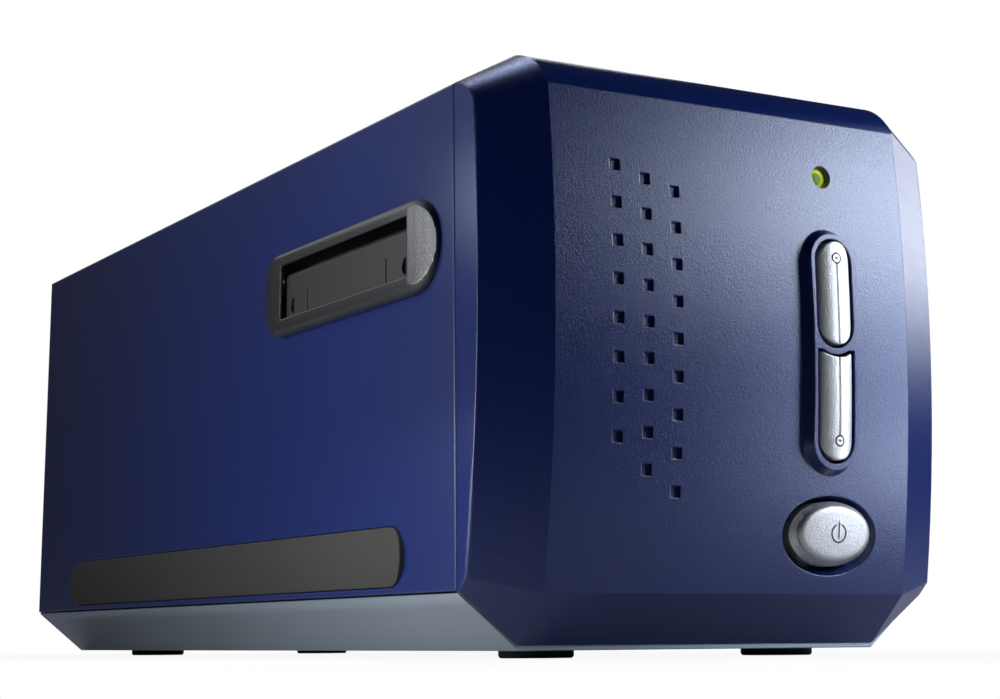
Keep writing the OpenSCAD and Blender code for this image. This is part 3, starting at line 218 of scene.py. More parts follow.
# Each row: name; place, target and size in metres; watts; tint
SOFT_BOXES = (
    ("box_key_high", (0.15, -0.20, 0.16), FACE, (0.08, 0.12), 0.072, DAYLIGHT),
    ("box_key_upper", (0.13, -0.23, 0.13), FACE, (0.06, 0.06), 0.10, DAYLIGHT),
    ("box_key_wide", (0.20, -0.30, 0.18), FACE, (0.12, 0.12), 0.16, DAYLIGHT),
    ("box_key_middle", (0.14, -0.22, 0.08), FACE, (0.05, 0.06), 0.080, SKYLIGHT),
    ("box_key_low", (0.13, -0.213, 0.03), FACE, (0.05, 0.03), 0.048, SKYLIGHT),
    ("box_cheek", (0.80, -0.03, 0.35), CHEEK, (0.45, 0.30), 1.45, HAZE),
    ("box_cheek_low", (0.60, -0.05, 0.18), CHEEK, (0.3, 0.1), 0.16, HAZE),
    ("box_left", (-0.27, -0.07, 0.11), (-0.057, -0.075, 0.08), (0.12, 0.12), 0.10, SHADE),
    ("box_left_low", (-0.22, -0.04, 0.05), (-0.057, -0.08, 0.08), (0.08, 0.05), 0.055, SHADE),
    ("box_slot", (-0.102, -0.078, 0.1), (-0.059, -0.108, 0.085), (0.02, 0.02), 0.0055, SHADE),
    ("box_side", (-0.21, -0.07, 0.05), (-0.057, -0.06, 0.055), (0.06, 0.05), 0.155, "#ffffff"),
    ("box_floor", (-0.115, -0.105, 0.05), (-0.115, -0.105, 0.0), (0.05, 0.05), 0.055, "#ffffff"),
    ("box_top", (0.08, 0.16, 0.8), (0.0, 0.05, 0.1), (0.18, 0.18), 1.5, ZENITH),
    ("box_back", (0.35, 0.75, 0.4), (0.0, 0.14, 0.06), (0.5, 0.5), 2.0, "#ffffff"),
)


def soft_box(name, place, target, size, watts, tint):
    lamp = bpy.data.lights.new(name, "AREA")
    lamp.shape = "RECTANGLE"
    lamp.size, lamp.size_y = size
    lamp.energy = watts
    lamp.color = linear(tint)[:3]
    holder = bpy.data.objects.new(name, lamp)
    holder.location = place
    holder.rotation_euler = (Vector(target) - Vector(place)).to_track_quat("-Z", "Y").to_euler()
    holder.visible_camera = False
    scene.collection.objects.link(holder)


for row in SOFT_BOXES:
    soft_box(*row)

# %% [markdown]
# ## Grain, edges and drift
# A mould is etched, spark-eroded or polished, and its surface is what the plastic shows. Cutting
# such relief into the mesh would take millions of faces, so a noise of the real size in
# millimetres feeds a bump node. Under it a Bevel node turns the normals over an edge, as the
# small round of a moulding does. A second, slow noise lets the colour drift faintly between two
# shades, as every large moulding and paint coat does. These three make one finish.

# %% Finish helpers
GRAIN_DETAIL, GRAIN_ROUGHNESS, DRIFT_DETAIL = 2.0, 0.6, 3.0
EDGE_RAYS = 6


def drift(tree, one_hex, other_hex, size_mm):
    """A colour that wanders between two shades over patches of this size."""
    where = add(tree, "ShaderNodeTexCoord")
    cloud = add(tree, "ShaderNodeTexNoise", {"Vector": where.outputs["Object"],
                                             "Scale": 1 / (size_mm * MM), "Detail": DRIFT_DETAIL})
    return add(tree, "ShaderNodeMix", {"Factor": cloud.outputs["Fac"], "A": linear(one_hex),
                                       "B": linear(other_hex)}, data_type="RGBA")


def pebble(tree, size_mm, depth_mm, under=None):
    """A grain of this size and depth, laid over the normals that under gives."""
    where = add(tree, "ShaderNodeTexCoord")
    small = add(tree, "ShaderNodeTexNoise",
                {"Vector": where.outputs["Object"], "Scale": 1 / (size_mm * MM),
                 "Detail": GRAIN_DETAIL, "Roughness": GRAIN_ROUGHNESS})
    inputs = {"Height": small.outputs["Fac"], "Distance": depth_mm * MM, "Strength": 1.0}
    if under:
        inputs["Normal"] = under.outputs["Normal"]
    return add(tree, "ShaderNodeBump", inputs)


def finish(name, shades, drift_mm, grain_mm, depth_mm, edge_mm=None, **looks):
    """A whole material; looks are sockets of the shader, with _ for a space."""
    material, tree = new_material(name)
    tone = drift(tree, *shades, drift_mm)
    edge = None
    if edge_mm:
        edge = add(tree, "ShaderNodeBevel", {"Radius": edge_mm * MM}, samples=EDGE_RAYS)
    bump = pebble(tree, grain_mm, depth_mm, edge)
    sockets = {socket.replace("_", " "): value for socket, value in looks.items()}
    shader = add(tree, "ShaderNodeBsdfPrincipled",
                 {"Base Color": tone.outputs["Result"], "Normal": bump.outputs[0], **sockets})
    add(tree, "ShaderNodeOutputMaterial", {"Surface": shader.outputs[0]})
    return material


print("a grain of 0.31 mm is a noise scale of", round(1 / (0.31 * MM)))

# %% [markdown]
# ## The blue mouldings
# Cover and bezel are ABS with a satin navy lacquer. The cover is almost smooth, the bezel has an
# etched leather grain with pebbles of about half a millimetre, and both show the soft boxes as a
# broad sheen instead of a sharp mirror image. The long ridge between the bezel's cheek and its
# side is rounder than its other edges. Bevelling that one edge of the mesh is possible, but a
# radius that depends on the place does it in the material.

# %% Navy lacquer on ABS
# Lacquer on a polished moulding: 0.9 mm of orange peel, a few microns deep, softens the sheen
cover_blue = finish("navy_lacquered_abs_smooth", ("#071d57", "#081a4f"),
                    drift_mm=60, grain_mm=0.9, depth_mm=0.006, edge_mm=0.7, Roughness=0.34,
                    IOR=1.5, Specular_IOR_Level=0.6)

# In metres
EDGE_ROUND, RIDGE_EXTRA = 0.0004, 0.0009        # round of every edge, and what the ridge adds
RIDGE_LEAN, RIDGE_AT = 0.04564, 0.121126        # on the ridge, y + RIDGE_LEAN * z + RIDGE_AT = 0
RIDGE_ROUND_TO, RIDGE_ENDS_AT = 0.0012, 0.002   # distances from it: full extra round, and none
RIDGE_OUT = 0.053                               # the ridges lie farther to the sides than this

bezel_blue, tree = new_material("navy_lacquered_abs_pebbled")
tone = drift(tree, "#08205b", "#091c54", size_mm=30)
where = add(tree, "ShaderNodeTexCoord")
ridge = add(tree, "ShaderNodeVectorMath",
            {0: where.outputs["Object"], 1: (0.0, 1.0, RIDGE_LEAN)}, operation="DOT_PRODUCT")
apart = add(tree, "ShaderNodeMath", {0: ridge.outputs["Value"], 1: RIDGE_AT}, operation="ADD")
apart = add(tree, "ShaderNodeMath", {0: apart.outputs[0]}, operation="ABSOLUTE")
along_ridge = add(tree, "ShaderNodeMapRange",
                  {"Value": apart.outputs[0], "From Min": RIDGE_ROUND_TO,
                   "From Max": RIDGE_ENDS_AT, "To Min": RIDGE_EXTRA, "To Max": 0.0})
aside = add(tree, "ShaderNodeSeparateXYZ", {0: where.outputs["Object"]})
outward = add(tree, "ShaderNodeMath", {0: aside.outputs["X"]}, operation="ABSOLUTE")
outward = add(tree, "ShaderNodeMath", {0: outward.outputs[0], 1: RIDGE_OUT},
              operation="GREATER_THAN")
radius = add(tree, "ShaderNodeMath",
             {0: along_ridge.outputs["Result"], 1: outward.outputs[0], 2: EDGE_ROUND},
             operation="MULTIPLY_ADD")
edge = add(tree, "ShaderNodeBevel", {"Radius": radius.outputs[0]}, samples=EDGE_RAYS)
bump = pebble(tree, size_mm=0.31, depth_mm=0.066, under=edge)
shader = add(tree, "ShaderNodeBsdfPrincipled",
             {"Base Color": tone.outputs["Result"], "Roughness": 0.22, "IOR": 1.5,
              "Specular IOR Level": 0.8, "Specular Tint": linear("#eef0ff"),
              "Normal": bump.outputs[0]})
add(tree, "ShaderNodeOutputMaterial", {"Surface": shader.outputs[0]})
print("blue finishes:", cover_blue.name, "and", bezel_blue.name)

# %% [markdown]
# ## The silver-grey tray
# The base tray is ABS with a metallic lacquer: aluminium flakes under a satin clear coat. It is
# partly metallic, so it takes its brightness from the floor and the boxes. Its upper edge is
# rolled over, which shows as a line of light. The wall's outline is right as it is, so a bump
# that follows the height above the floor is enough to draw the roll.

# %% Metallic lacquer on the tray
ROLL_FROM, TRAY_TOP = 0.0099, 0.0125            # heights in metres
TURN_IN = 0.0022                                # how far the wall seems to turn in at its top

tray_silver, tree = new_material("silver_grey_metallic_lacquer")
tone = drift(tree, "#a0acb6", "#97a3ae", size_mm=50)
where = add(tree, "ShaderNodeTexCoord")
height = add(tree, "ShaderNodeSeparateXYZ", {0: where.outputs["Object"]})
climb = add(tree, "ShaderNodeMapRange",
            {"Value": height.outputs["Z"], "From Min": ROLL_FROM, "From Max": TRAY_TOP})
# Squared, so that the wall turns in slowly at first
climb = add(tree, "ShaderNodeMath", {0: climb.outputs["Result"], 1: 2.0}, operation="POWER")
turn = add(tree, "ShaderNodeMath", {0: climb.outputs[0], 1: -TURN_IN}, operation="MULTIPLY")
edge = add(tree, "ShaderNodeBevel", {"Radius": 0.3 * MM}, samples=EDGE_RAYS)
roll = add(tree, "ShaderNodeBump",
           {"Height": turn.outputs[0], "Distance": 1.0, "Normal": edge.outputs["Normal"]})
bump = pebble(tree, size_mm=0.25, depth_mm=0.004, under=roll)
shader = add(tree, "ShaderNodeBsdfPrincipled",
             {"Base Color": tone.outputs["Result"], "Metallic": 0.65, "Roughness": 0.4,
              "IOR": 1.5, "Normal": bump.outputs[0]})
add(tree, "ShaderNodeOutputMaterial", {"Surface": shader.outputs[0]})
print("the tray's rolled edge is", round((TRAY_TOP - ROLL_FROM) / MM, 1), "mm high")

# %% [markdown]
# ## Black trim
# The slot surrounds are unpainted black ABS with a fine spark-eroded grain, the dust doors are
# smoother, the grip strips and feet are soft elastomer, and the film gate is matt black so that
# no stray light reaches the film.

# %% Black and dark grey plastics
# Spark erosion leaves pits of under 0.1 mm; they are drawn at 0.32 mm, the finest that shows
trim_black = finish("black_abs_spark_eroded", ("#1e1e1e", "#252525"),
                    drift_mm=20, grain_mm=0.32, depth_mm=0.105, edge_mm=0.5, Roughness=0.28,
                    IOR=1.52, Specular_IOR_Level=0.95)
# From a polished mould: an even satin, with a trace of grain
door_black = finish("black_abs_smooth", ("#222222", "#2a2a2a"),
                    drift_mm=25, grain_mm=0.3, depth_mm=0.012, edge_mm=0.25, Roughness=0.5,
                    IOR=1.52)
# Moulded elastomer scatters nearly all light, so it shows hardly any sheen
strip_rubber = finish("dark_grey_elastomer", ("#363635", "#3c3b3a"),
                      drift_mm=40, grain_mm=0.3, depth_mm=0.03, edge_mm=0.5, Roughness=0.6,
                      IOR=1.5, Specular_IOR_Level=0.1)
# The same for the feet, harder and darker
foot_rubber = finish("black_foot_rubber", ("#242425", "#2e2e2f"),
                     drift_mm=4, grain_mm=0.3, depth_mm=0.02, Roughness=0.5, IOR=1.5)
# A coarse grain and no gloss swallow stray light
gate_black = finish("matt_black_abs", ("#0e0e0f", "#141415"),
                    drift_mm=12, grain_mm=0.4, depth_mm=0.03, Roughness=0.8, IOR=1.5)
print("black finishes:", len({trim_black, door_black, strip_rubber, foot_rubber, gate_black}))

# %% [markdown]
# ## Silver keys
# The three keys are ABS with an aluminium-flake lacquer over an etched grain. The flakes make
# it a rough metal: bright where it faces a soft box, mid grey where it doesn't. The rings and
# the power mark are engraved, and their beds are painted a matt dark grey: painted shade, for
# the shadow that so fine an engraving holds.

# %% Flake lacquer and painted engraving shade on the keys
# A flake is about 0.03 mm wide; the sparkle is drawn at 0.3 mm, so that it shows
button_silver = finish("aluminium_flake_lacquer", ("#e2dfda", "#c2c0bb"),
                       drift_mm=0.3, grain_mm=0.27, depth_mm=0.11, Metallic=0.85,
                       Roughness=0.37)

# Painted shade in the engraved lines: a matt dark grey that varies a little over 0.6 mm
engraving_shade, tree = new_material("dark_grey_painted_engraving_shade")
tone = drift(tree, "#3b3d40", "#47494c", size_mm=0.6)
shader = add(tree, "ShaderNodeBsdfPrincipled",
             {"Base Color": tone.outputs["Result"], "Roughness": 0.6})
add(tree, "ShaderNodeOutputMaterial", {"Surface": shader.outputs[0]})
print("key finishes:", button_silver.name, "and", engraving_shade.name)

# %% [markdown]
# ## The indicator's light pipe
# The pipe is clear yellow-green polycarbonate with a lamp behind it. Refraction through so small
# a dome is slow to render and hardly seen, so it is painted: the rim glows in the colour of the
# lit plastic, a painted highlight, and a dark core, a little to the left of the middle, is painted
# shade that stands for the depth of the pipe.

# %% Polycarbonate of the light pipe
# Painted light: the core is painted dark and the rim painted bright, in place of refraction
CORE_X, CORE_Z = 22.6, 98.3                     # millimetres on the face
CORE_R, RIM_R = 1.1, 1.6                        # the core ends and the rim starts

lens_green, tree = new_material("yellow_green_polycarbonate")
where = add(tree, "ShaderNodeTexCoord")
aside = add(tree, "ShaderNodeVectorMath",
            {0: where.outputs["Object"], 1: (-CORE_X * MM, 0.0, -CORE_Z * MM)}, operation="ADD")
# Without its y, the length of this vector is a distance on the face
aside = add(tree, "ShaderNodeVectorMath", {0: aside.outputs[0], 1: (1.0, 0.0, 1.0)},
            operation="MULTIPLY")
apart = add(tree, "ShaderNodeVectorMath", {0: aside.outputs[0]}, operation="LENGTH")
# The mask that runs from the painted dark core to the painted bright rim
rim = add(tree, "ShaderNodeMapRange",
          {"Value": apart.outputs["Value"], "From Min": CORE_R * MM, "From Max": RIM_R * MM},
          interpolation_type="SMOOTHSTEP")
tone = add(tree, "ShaderNodeMix", {"Factor": rim.outputs["Result"], "A": linear("#5f7c02"),
                                   "B": linear("#dcec3c")}, data_type="RGBA")
shader = add(tree, "ShaderNodeBsdfPrincipled",
             {"Base Color": tone.outputs["Result"], "Roughness": 0.2, "IOR": 1.585,
              "Specular IOR Level": 0.06, "Emission Color": tone.outputs["Result"],
              "Emission Strength": 0.28})
add(tree, "ShaderNodeOutputMaterial", {"Surface": shader.outputs[0]})
print("the glowing rim is", round(RIM_R - CORE_R, 1), "mm from the core")

# %% [markdown]
# ## Inside and at the back
# Behind the doors lie steel rods, bronze bushes, green boards and grey mouldings. They show only
# when a door stands open or through the sockets, but each gets its own finish. Pores, fibres
# and marks that are finer in the real material are drawn at 0.15 to 0.5 mm, so that they show.
# A table from slot to finish then dresses every node in one loop.

# %% Finishes of the inner parts
SLOT_FINISH = {
    "cover_blue": cover_blue,
    "bezel_blue": bezel_blue,
    "tray_silver": tray_silver,
    "foot_rubber": foot_rubber,
    "trim_black": trim_black,
    "door_black": door_black,
    "strip_rubber": strip_rubber,
    "gate_black": gate_black,
    "button_silver": button_silver,
    "lens_green": lens_green,
    # Dyed through and unpainted, from an etched mould
    "panel_blue": finish("navy_abs_rear_panel", ("#232b5c", "#272f62"),
                         drift_mm=40, grain_mm=0.5, depth_mm=0.03, Roughness=0.5),
    # A thin cured resin: an even gloss over the board
    "board_green": finish("green_solder_mask", ("#1b5136", "#22603f"),
                          drift_mm=9, grain_mm=0.3, depth_mm=0.01, Roughness=0.35),
    # Grinding marks are microns wide; a weak 0.15 mm grain blurs the highlight as they do
    "steel": finish("ground_steel", ("#9d9ea0", "#b0b1b3"),
                    drift_mm=3, grain_mm=0.15, depth_mm=0.004, Metallic=1.0, Roughness=0.28),
    # Glass fibres at the surface of a moulding leave it mottled and dull
    "chassis_grey": finish("grey_glass_filled_abs", ("#5c6166", "#666b70"),
                           drift_mm=20, grain_mm=0.5, depth_mm=0.03, Roughness=0.6),
    "carriage_grey": finish("dark_glass_filled_abs", ("#2e3135", "#373a3f"),
                            drift_mm=15, grain_mm=0.5, depth_mm=0.03, Roughness=0.55),
    # Pressed from powder, so its pores keep it from shining
    "bronze": finish("sintered_bronze", ("#9a7433", "#ad8543"),
                     drift_mm=1.5, grain_mm=0.2, depth_mm=0.02, Metallic=1.0, Roughness=0.45),
    # Cast opal sheet: milky, with a smooth skin
    "lamp_white": finish("opal_acrylic", ("#e6e5dc", "#efeee6"),
                         drift_mm=10, grain_mm=0.4, depth_mm=0.005, Roughness=0.25),
    # Metal evaporated on polished glass: a sharp mirror image
    "mirror_glass": finish("aluminised_glass", ("#d5dadd", "#dfe3e6"),
                           drift_mm=12, grain_mm=0.5, depth_mm=0.0005, Metallic=1.0,
                           Roughness=0.04),
    # A dyed oxide layer over turned metal: black with a metallic gleam
    "barrel_black": finish("black_anodised_aluminium", ("#17181a", "#1e2022"),
                           drift_mm=4, grain_mm=0.2, depth_mm=0.006, Metallic=0.6,
                           Roughness=0.35),
    # Moulded acetal looks waxy
    "pulley_white": finish("white_acetal", ("#d9d9d4", "#e4e4df"),
                           drift_mm=6, grain_mm=0.3, depth_mm=0.006, Roughness=0.35),
    # Moulded neoprene is dull all over
    "belt_rubber": finish("black_neoprene_belt", ("#131313", "#1b1b1b"),
                          drift_mm=2, grain_mm=0.4, depth_mm=0.03, Roughness=0.7),
    # Moulded nylon: black with a slight satin
    "socket_black": finish("black_nylon", ("#131314", "#1a1a1b"),
                           drift_mm=5, grain_mm=0.3, depth_mm=0.01, Roughness=0.45),
}
print("slots dressed:", len(SLOT_FINISH))

# %% Put each finish on its nodes
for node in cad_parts.values():
    for slot in node.material_slots:
        slot.material = SLOT_FINISH[slot.material.name]
print("nodes dressed:", len(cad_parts))

# %% [markdown]
# ## Softer edges
# No moulding leaves its tool with a razor edge: the corners are rounded by a few tenths of a
# millimetre, and that thin round catches a line of light. The solids are exact and sharp, so a
# bevel modifier rounds them here. The imported triangles are welded and the flat ones joined
# first, because a bevel needs clean edges, and weighted normals keep the large faces flat.

# %% Rounded edges
ROUNDED = {"top_cover": 0.2, "base_tray": 0.25, "rear_panel": 0.3}      # widths in millimetres
WELD_WITHIN = 0.00001                           # metres
FLAT_WITHIN, EDGE_BEYOND = math.radians(0.3), math.radians(24)

for name, width in ROUNDED.items():
    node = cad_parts[name]
    weld = node.modifiers.new("weld", "WELD")
    weld.merge_threshold = WELD_WITHIN
    join = node.modifiers.new("join_flat_faces", "DECIMATE")
    join.decimate_type = "DISSOLVE"
    join.angle_limit = FLAT_WITHIN
    bevel = node.modifiers.new("rounded_edges", "BEVEL")
    bevel.width = width * MM
    bevel.segments = 3
    bevel.limit_method = "ANGLE"
    bevel.angle_limit = EDGE_BEYOND
    bevel.use_clamp_overlap = True
    normals = node.modifiers.new("face_normals", "WEIGHTED_NORMAL")
    normals.keep_sharp = False
print("rounded:", ", ".join(ROUNDED))

# %% [markdown]
# ## Caps of the keys
# A scan key is a crowned lid with a rolled edge, a groove down its middle and a small engraved
# ring. A boolean would leave ragged shading on such a small curved lid. So the lid is drawn as
# a cloud of points seen from the front, joined by a constrained Delaunay triangulation, and
# every point is then pushed to its depth by a formula: bow, crown, rolled edge and engraving.
# All of this is worked out in millimetres, in the plane of x and z.

# %% Curves and lines on the face
FACE_Y, BOW_R, BOW_Z = -134.35, 356.0, 77.0     # the bowed face
WALL = 2.4                                      # thickness of the bezel
FIT = 0.3                                       # gap between the bezel and what lies behind it


def bow(z, behind=0):
    """The y of the face, or of a surface this far behind it."""
    return FACE_Y + BOW_R - math.sqrt((BOW_R - behind) ** 2 - (z - BOW_Z) ** 2)


def along(points, step):
    """Points at an even step on a polyline."""
    out = []
    for (x0, z0), (x1, z1) in zip(points, points[1:]):
        count = max(1, round(math.hypot(x1 - x0, z1 - z0) / step))
        out += [(x0 + (x1 - x0) * i / count, z0 + (z1 - z0) * i / count) for i in range(count)]
    return out + [points[-1]]


def arc(cx, cz, r, start, stop, count):
    """Points on an arc; the angles are in degrees."""
    turns = [math.radians(start + (stop - start) * i / count) for i in range(count + 1)]
    return [(cx + r * math.cos(a), cz + r * math.sin(a)) for a in turns]


def from_line(x, z, points):
    """Distance of a point from a polyline."""
    best = math.inf
    for (x0, z0), (x1, z1) in zip(points, points[1:]):
        dx, dz = x1 - x0, z1 - z0
        t = max(0.0, min(1.0, ((x - x0) * dx + (z - z0) * dz) / (dx * dx + dz * dz)))
        best = min(best, math.hypot(x - x0 - t * dx, z - z0 - t * dz))
    return best


print("the face lies", round(bow(24.25) - FACE_Y, 2), "mm farther back at the power key")

# %% [markdown]
# ## Where a lid needs points
# A curve needs points only where it bends. Rows of points follow the border across the rolled
# edge, other rows follow each engraved line, and an even field of triangles fills the rest.

# %% Points of a lid
EDGE_ROLL = 0.4                                 # radius of a scan key's rolled edge
BORDER_STEP, LINE_STEP, FIELD_STEP = 0.25, 0.22, 0.5
EDGE_ROWS = (0.06, 0.2, 0.4, 0.65, 1.0)         # as shares of the rolled edge
LINE_ROWS = (-1.3, -1.0, -0.5, 0.0, 0.5, 1.0, 1.3)      # as shares of a line's half width
LINE_INSIDE, FIELD_INSIDE = 1.1, 1.3            # how many rolls from the border they start
FIELD_OFF_LINE = 1.9                            # how many half widths the field keeps off a line
ROW_HEIGHT = 0.866                              # height of an even triangle with a side of 1
SLACK = 0.01                                    # what rounding may take from a distance


def beside(before, here, after, off):
    """A point beside a line that runs from before over here to after."""
    (xa, za), (x, z), (xb, zb) = before, here, after
    long = math.hypot(xb - xa, zb - za) or 1.0
    return x - (zb - za) / long * off, z + (xb - xa) / long * off


def scatter(border, inset, lines, step, roll):
    cloud = list(border)
    count = len(border)
    for share in EDGE_ROWS:
        d = roll * share
        row = [beside(border[k - 1], border[k], border[(k + 1) % count], d) for k in range(count)]
        cloud += [p for p in row if inset(*p) > d - SLACK]
    for points, half_w, deep, shade_painted in lines:
        fine = along(points, LINE_STEP)
        for k, here in enumerate(fine):
            before, after = fine[max(0, k - 1)], fine[min(len(fine) - 1, k + 1)]
            row = [beside(before, here, after, side * half_w) for side in LINE_ROWS]
            cloud += [p for p in row if inset(*p) > roll * LINE_INSIDE]
    low_x, high_x = min(x for x, z in border), max(x for x, z in border)
    z, high_z = min(z for x, z in border), max(z for x, z in border)
    odd = 0
    while z < high_z:
        x = low_x + odd * step / 2
        while x < high_x:
            if inset(x, z) > roll * FIELD_INSIDE and all(
                    from_line(x, z, points) > FIELD_OFF_LINE * half_w
                    for points, half_w, deep, shade_painted in lines):
                cloud.append((x, z))
            x += step
        z += step * ROW_HEIGHT
        odd = 1 - odd
    return cloud


print("rows of points across a rolled edge:", len(EDGE_ROWS))

# %% [markdown]
# ## From points to a lid
# The border is given to the triangulation as fixed edges, so that no triangle crosses it. The
# rolled edge is a quarter circle, and an engraved line has a flat bed and two sloping walls.

# %% Lid
# Of a line whose bed is painted with shade, this share of its width is painted
SHADE_PAINTED_SHARE = 0.8             # the share of a line's width that is inked
MERGE = 1e-5
INSIDE_ONLY = 1         # the output mode of the triangulation


def lid(outline, inset, depth, lines, step=FIELD_STEP, roll=EDGE_ROLL):
    """Returns a bmesh in metres. lines: (polyline, half width, depth, inked)."""
    border = along(outline + outline[:1], BORDER_STEP)[:-1]
    ring = [(k, (k + 1) % len(border)) for k in range(len(border))]
    cloud = [Vector(p) for p in scatter(border, inset, lines, step, roll)]
    flat, _, faces, *_ = geometry.delaunay_2d_cdt(cloud, ring, [], INSIDE_ONLY, MERGE)
    bm = bmesh.new()
    made = []
    for x, z in flat:
        y = depth(x, z)
        d = max(0.0, min(roll, inset(x, z)))
        y += roll - math.sqrt(roll ** 2 - (roll - d) ** 2)
        for points, half_w, deep, shade_painted in lines:
            t = from_line(x, z, points) / half_w
            if t < 1:       # the sloping walls take up the outer half of the line
                y += deep * min(1.0, 2 * (1 - t))
        made.append(bm.verts.new((x * MM, y * MM, z * MM)))
    for f in faces:
        face = bm.faces.new([made[k] for k in f])
        cx, cz = (sum(flat[k][i] for k in f) / len(f) for i in (0, 1))
        # Faces in the bed of a shade-painted line take the second material, the painted shade
        if any(shade_painted and from_line(cx, cz, points) < SHADE_PAINTED_SHARE * half_w
               for points, half_w, deep, shade_painted in lines):
            face.material_index = 1
    return bm


print("a lid falls away by", EDGE_ROLL, "mm at its border")

# %% [markdown]
# ## Behind the lid
# Each cap goes down to a tab behind the bezel and a stem that reaches the switch. The walls are
# drawn down from the open border of the lid, always in the order of its edges, so that each run
# lists the same faces. The finished mesh becomes an object that rides on its body and stands
# for its solid.

# %% Walls, tabs, stems and pieces
TAB_T = 1.1                                     # thickness of a key's tab
STEM_R, STEM_SIDES = 2, 40                      # the stem reaches back to the switch
SMOOTH_BELOW = 40                               # degrees


def box_mm(node):
    low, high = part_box(node)
    return [c / MM for c in low], [c / MM for c in high]


def skirt(bm, place):
    """Walls down from the open border; place gives the new x, y, z of a border point in mm."""
    border = [e for e in bm.edges if e.is_boundary]
    grown = {}
    for v in [v for e in border for v in e.verts]:
        if v not in grown:
            grown[v] = bm.verts.new(Vector(place(*(c / MM for c in v.co))) * MM)
    for e in border:
        a, b = e.verts
        if e.link_loops[0].vert == a:       # a wall runs against the face that it hangs from
            a, b = b, a
        bm.faces.new([a, b, grown[b], grown[a]])


def brick(bm, low, high):
    size = [(b - a) * MM for a, b in zip(low, high)]
    middle = [(a + b) / 2 * MM for a, b in zip(low, high)]
    bmesh.ops.create_cube(bm, size=1,
                          matrix=Matrix.Translation(middle) @ Matrix.Diagonal((*size, 1)))


def stem(bm, x, z, y0, y1, r):
    turn = (Matrix.Translation((x * MM, (y0 + y1) / 2 * MM, z * MM))
            @ Matrix.Rotation(math.radians(90), 4, "X"))
    bmesh.ops.create_cone(bm, cap_ends=True, segments=STEM_SIDES, radius1=r * MM, radius2=r * MM,
                          depth=(y1 - y0) * MM, matrix=turn)


def piece(name, bm, materials, body, node, smooth_below=SMOOTH_BELOW):
    bmesh.ops.recalc_face_normals(bm, faces=bm.faces)
    mesh = bpy.data.meshes.new(name)
    bm.to_mesh(mesh)
    bm.free()
    mesh.polygons.foreach_set("use_smooth", [True] * len(mesh.polygons))
    mesh.set_sharp_from_angle(angle=math.radians(smooth_below))
    for material in materials:
        mesh.materials.append(material)
    obj = bpy.data.objects.new(name, mesh)
    scene.collection.objects.link(obj)
    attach(obj, body)
    if node:
        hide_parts(node)
    return obj


print("stems of", 2 * STEM_R, "mm on tabs of", TAB_T, "mm")

# %% [markdown]
# ## The two scan keys
# The upper key has two round ends. The lower one starts with a hollow that follows the upper
# key, with two short horns. Both share the crown, and the groove runs from the ring towards
# the gap between the keys.

# %% Scan keys
KEY_X, KEY_R, CROWN_R, KEY_PROUD = 22.9, 4.15, 7.5, 3.3
UPPER, LOWER = (62.43, 84.03), (38.83, 60.43)   # lowest and highest z
HORN = LOWER[1] + 0.4                           # z of the horns' tips
HOLLOW_R = 6.7
TAB_HALF = 7.2                                  # half length of the tab
RING_R, DOT_HALF = 1.05, 0.22
# Half width, depth, and whether the bed is painted with shade
GROOVE, RING, DOT = (0.3, 0.4, False), (0.2, 0.16, True), (0.26, 0.12, True)
ROUND_SIDES, RING_SIDES, HOLLOW_SIDES = 48, 40, 28
hollow_z = UPPER[0] + KEY_R


def crown(x, z):
    return bow(z) - KEY_PROUD + CROWN_R - math.sqrt(CROWN_R ** 2 - (x - KEY_X) ** 2)


def in_stadium(x, z, low, high):
    nearest = max(low + KEY_R, min(high - KEY_R, z))
    return KEY_R - math.hypot(x - KEY_X, z - nearest)


def in_upper(x, z):
    return in_stadium(x, z, *UPPER)


def in_lower(x, z):
    return min(in_stadium(x, z, LOWER[0], HORN + 2 * KEY_R), HORN - z,
               math.hypot(x - KEY_X, z - hollow_z) - HOLLOW_R)


upper_outline = (arc(KEY_X, UPPER[0] + KEY_R, KEY_R, 180, 360, ROUND_SIDES)
                 + arc(KEY_X, UPPER[1] - KEY_R, KEY_R, 0, 180, ROUND_SIDES))
horn_x = math.sqrt(HOLLOW_R ** 2 - (hollow_z - HORN) ** 2)
horn_a = math.degrees(math.atan2(HORN - hollow_z, horn_x))
lower_outline = (arc(KEY_X, LOWER[0] + KEY_R, KEY_R, 180, 360, ROUND_SIDES)
                 + [(KEY_X + KEY_R, HORN)]
                 + arc(KEY_X, hollow_z, HOLLOW_R, horn_a, -180 - horn_a, HOLLOW_SIDES)
                 + [(KEY_X - KEY_R, HORN)])


def scan_key(name, node, body, outline, inset, ring_z, groove):
    ring = arc(KEY_X, ring_z, RING_R, 0, 360, RING_SIDES)
    dot = [(KEY_X - DOT_HALF, ring_z), (KEY_X + DOT_HALF, ring_z)]
    lines = [([(KEY_X, z) for z in groove], *GROOVE), (ring, *RING), (dot, *DOT)]
    bm = lid(outline, inset, crown, lines)
    low, high = box_mm(node)
    mid = (low[2] + high[2]) / 2
    tab_z = (mid - TAB_HALF, mid + TAB_HALF)
    tab_y = max(bow(z, WALL) for z in tab_z) + FIT
    skirt(bm, lambda x, y, z: (x, tab_y, z))
    brick(bm, (low[0], tab_y, tab_z[0]), (high[0], tab_y + TAB_T, tab_z[1]))
    stem(bm, KEY_X, mid, tab_y, high[1], STEM_R)
    return piece(name, bm, [button_silver, engraving_shade], body, node)


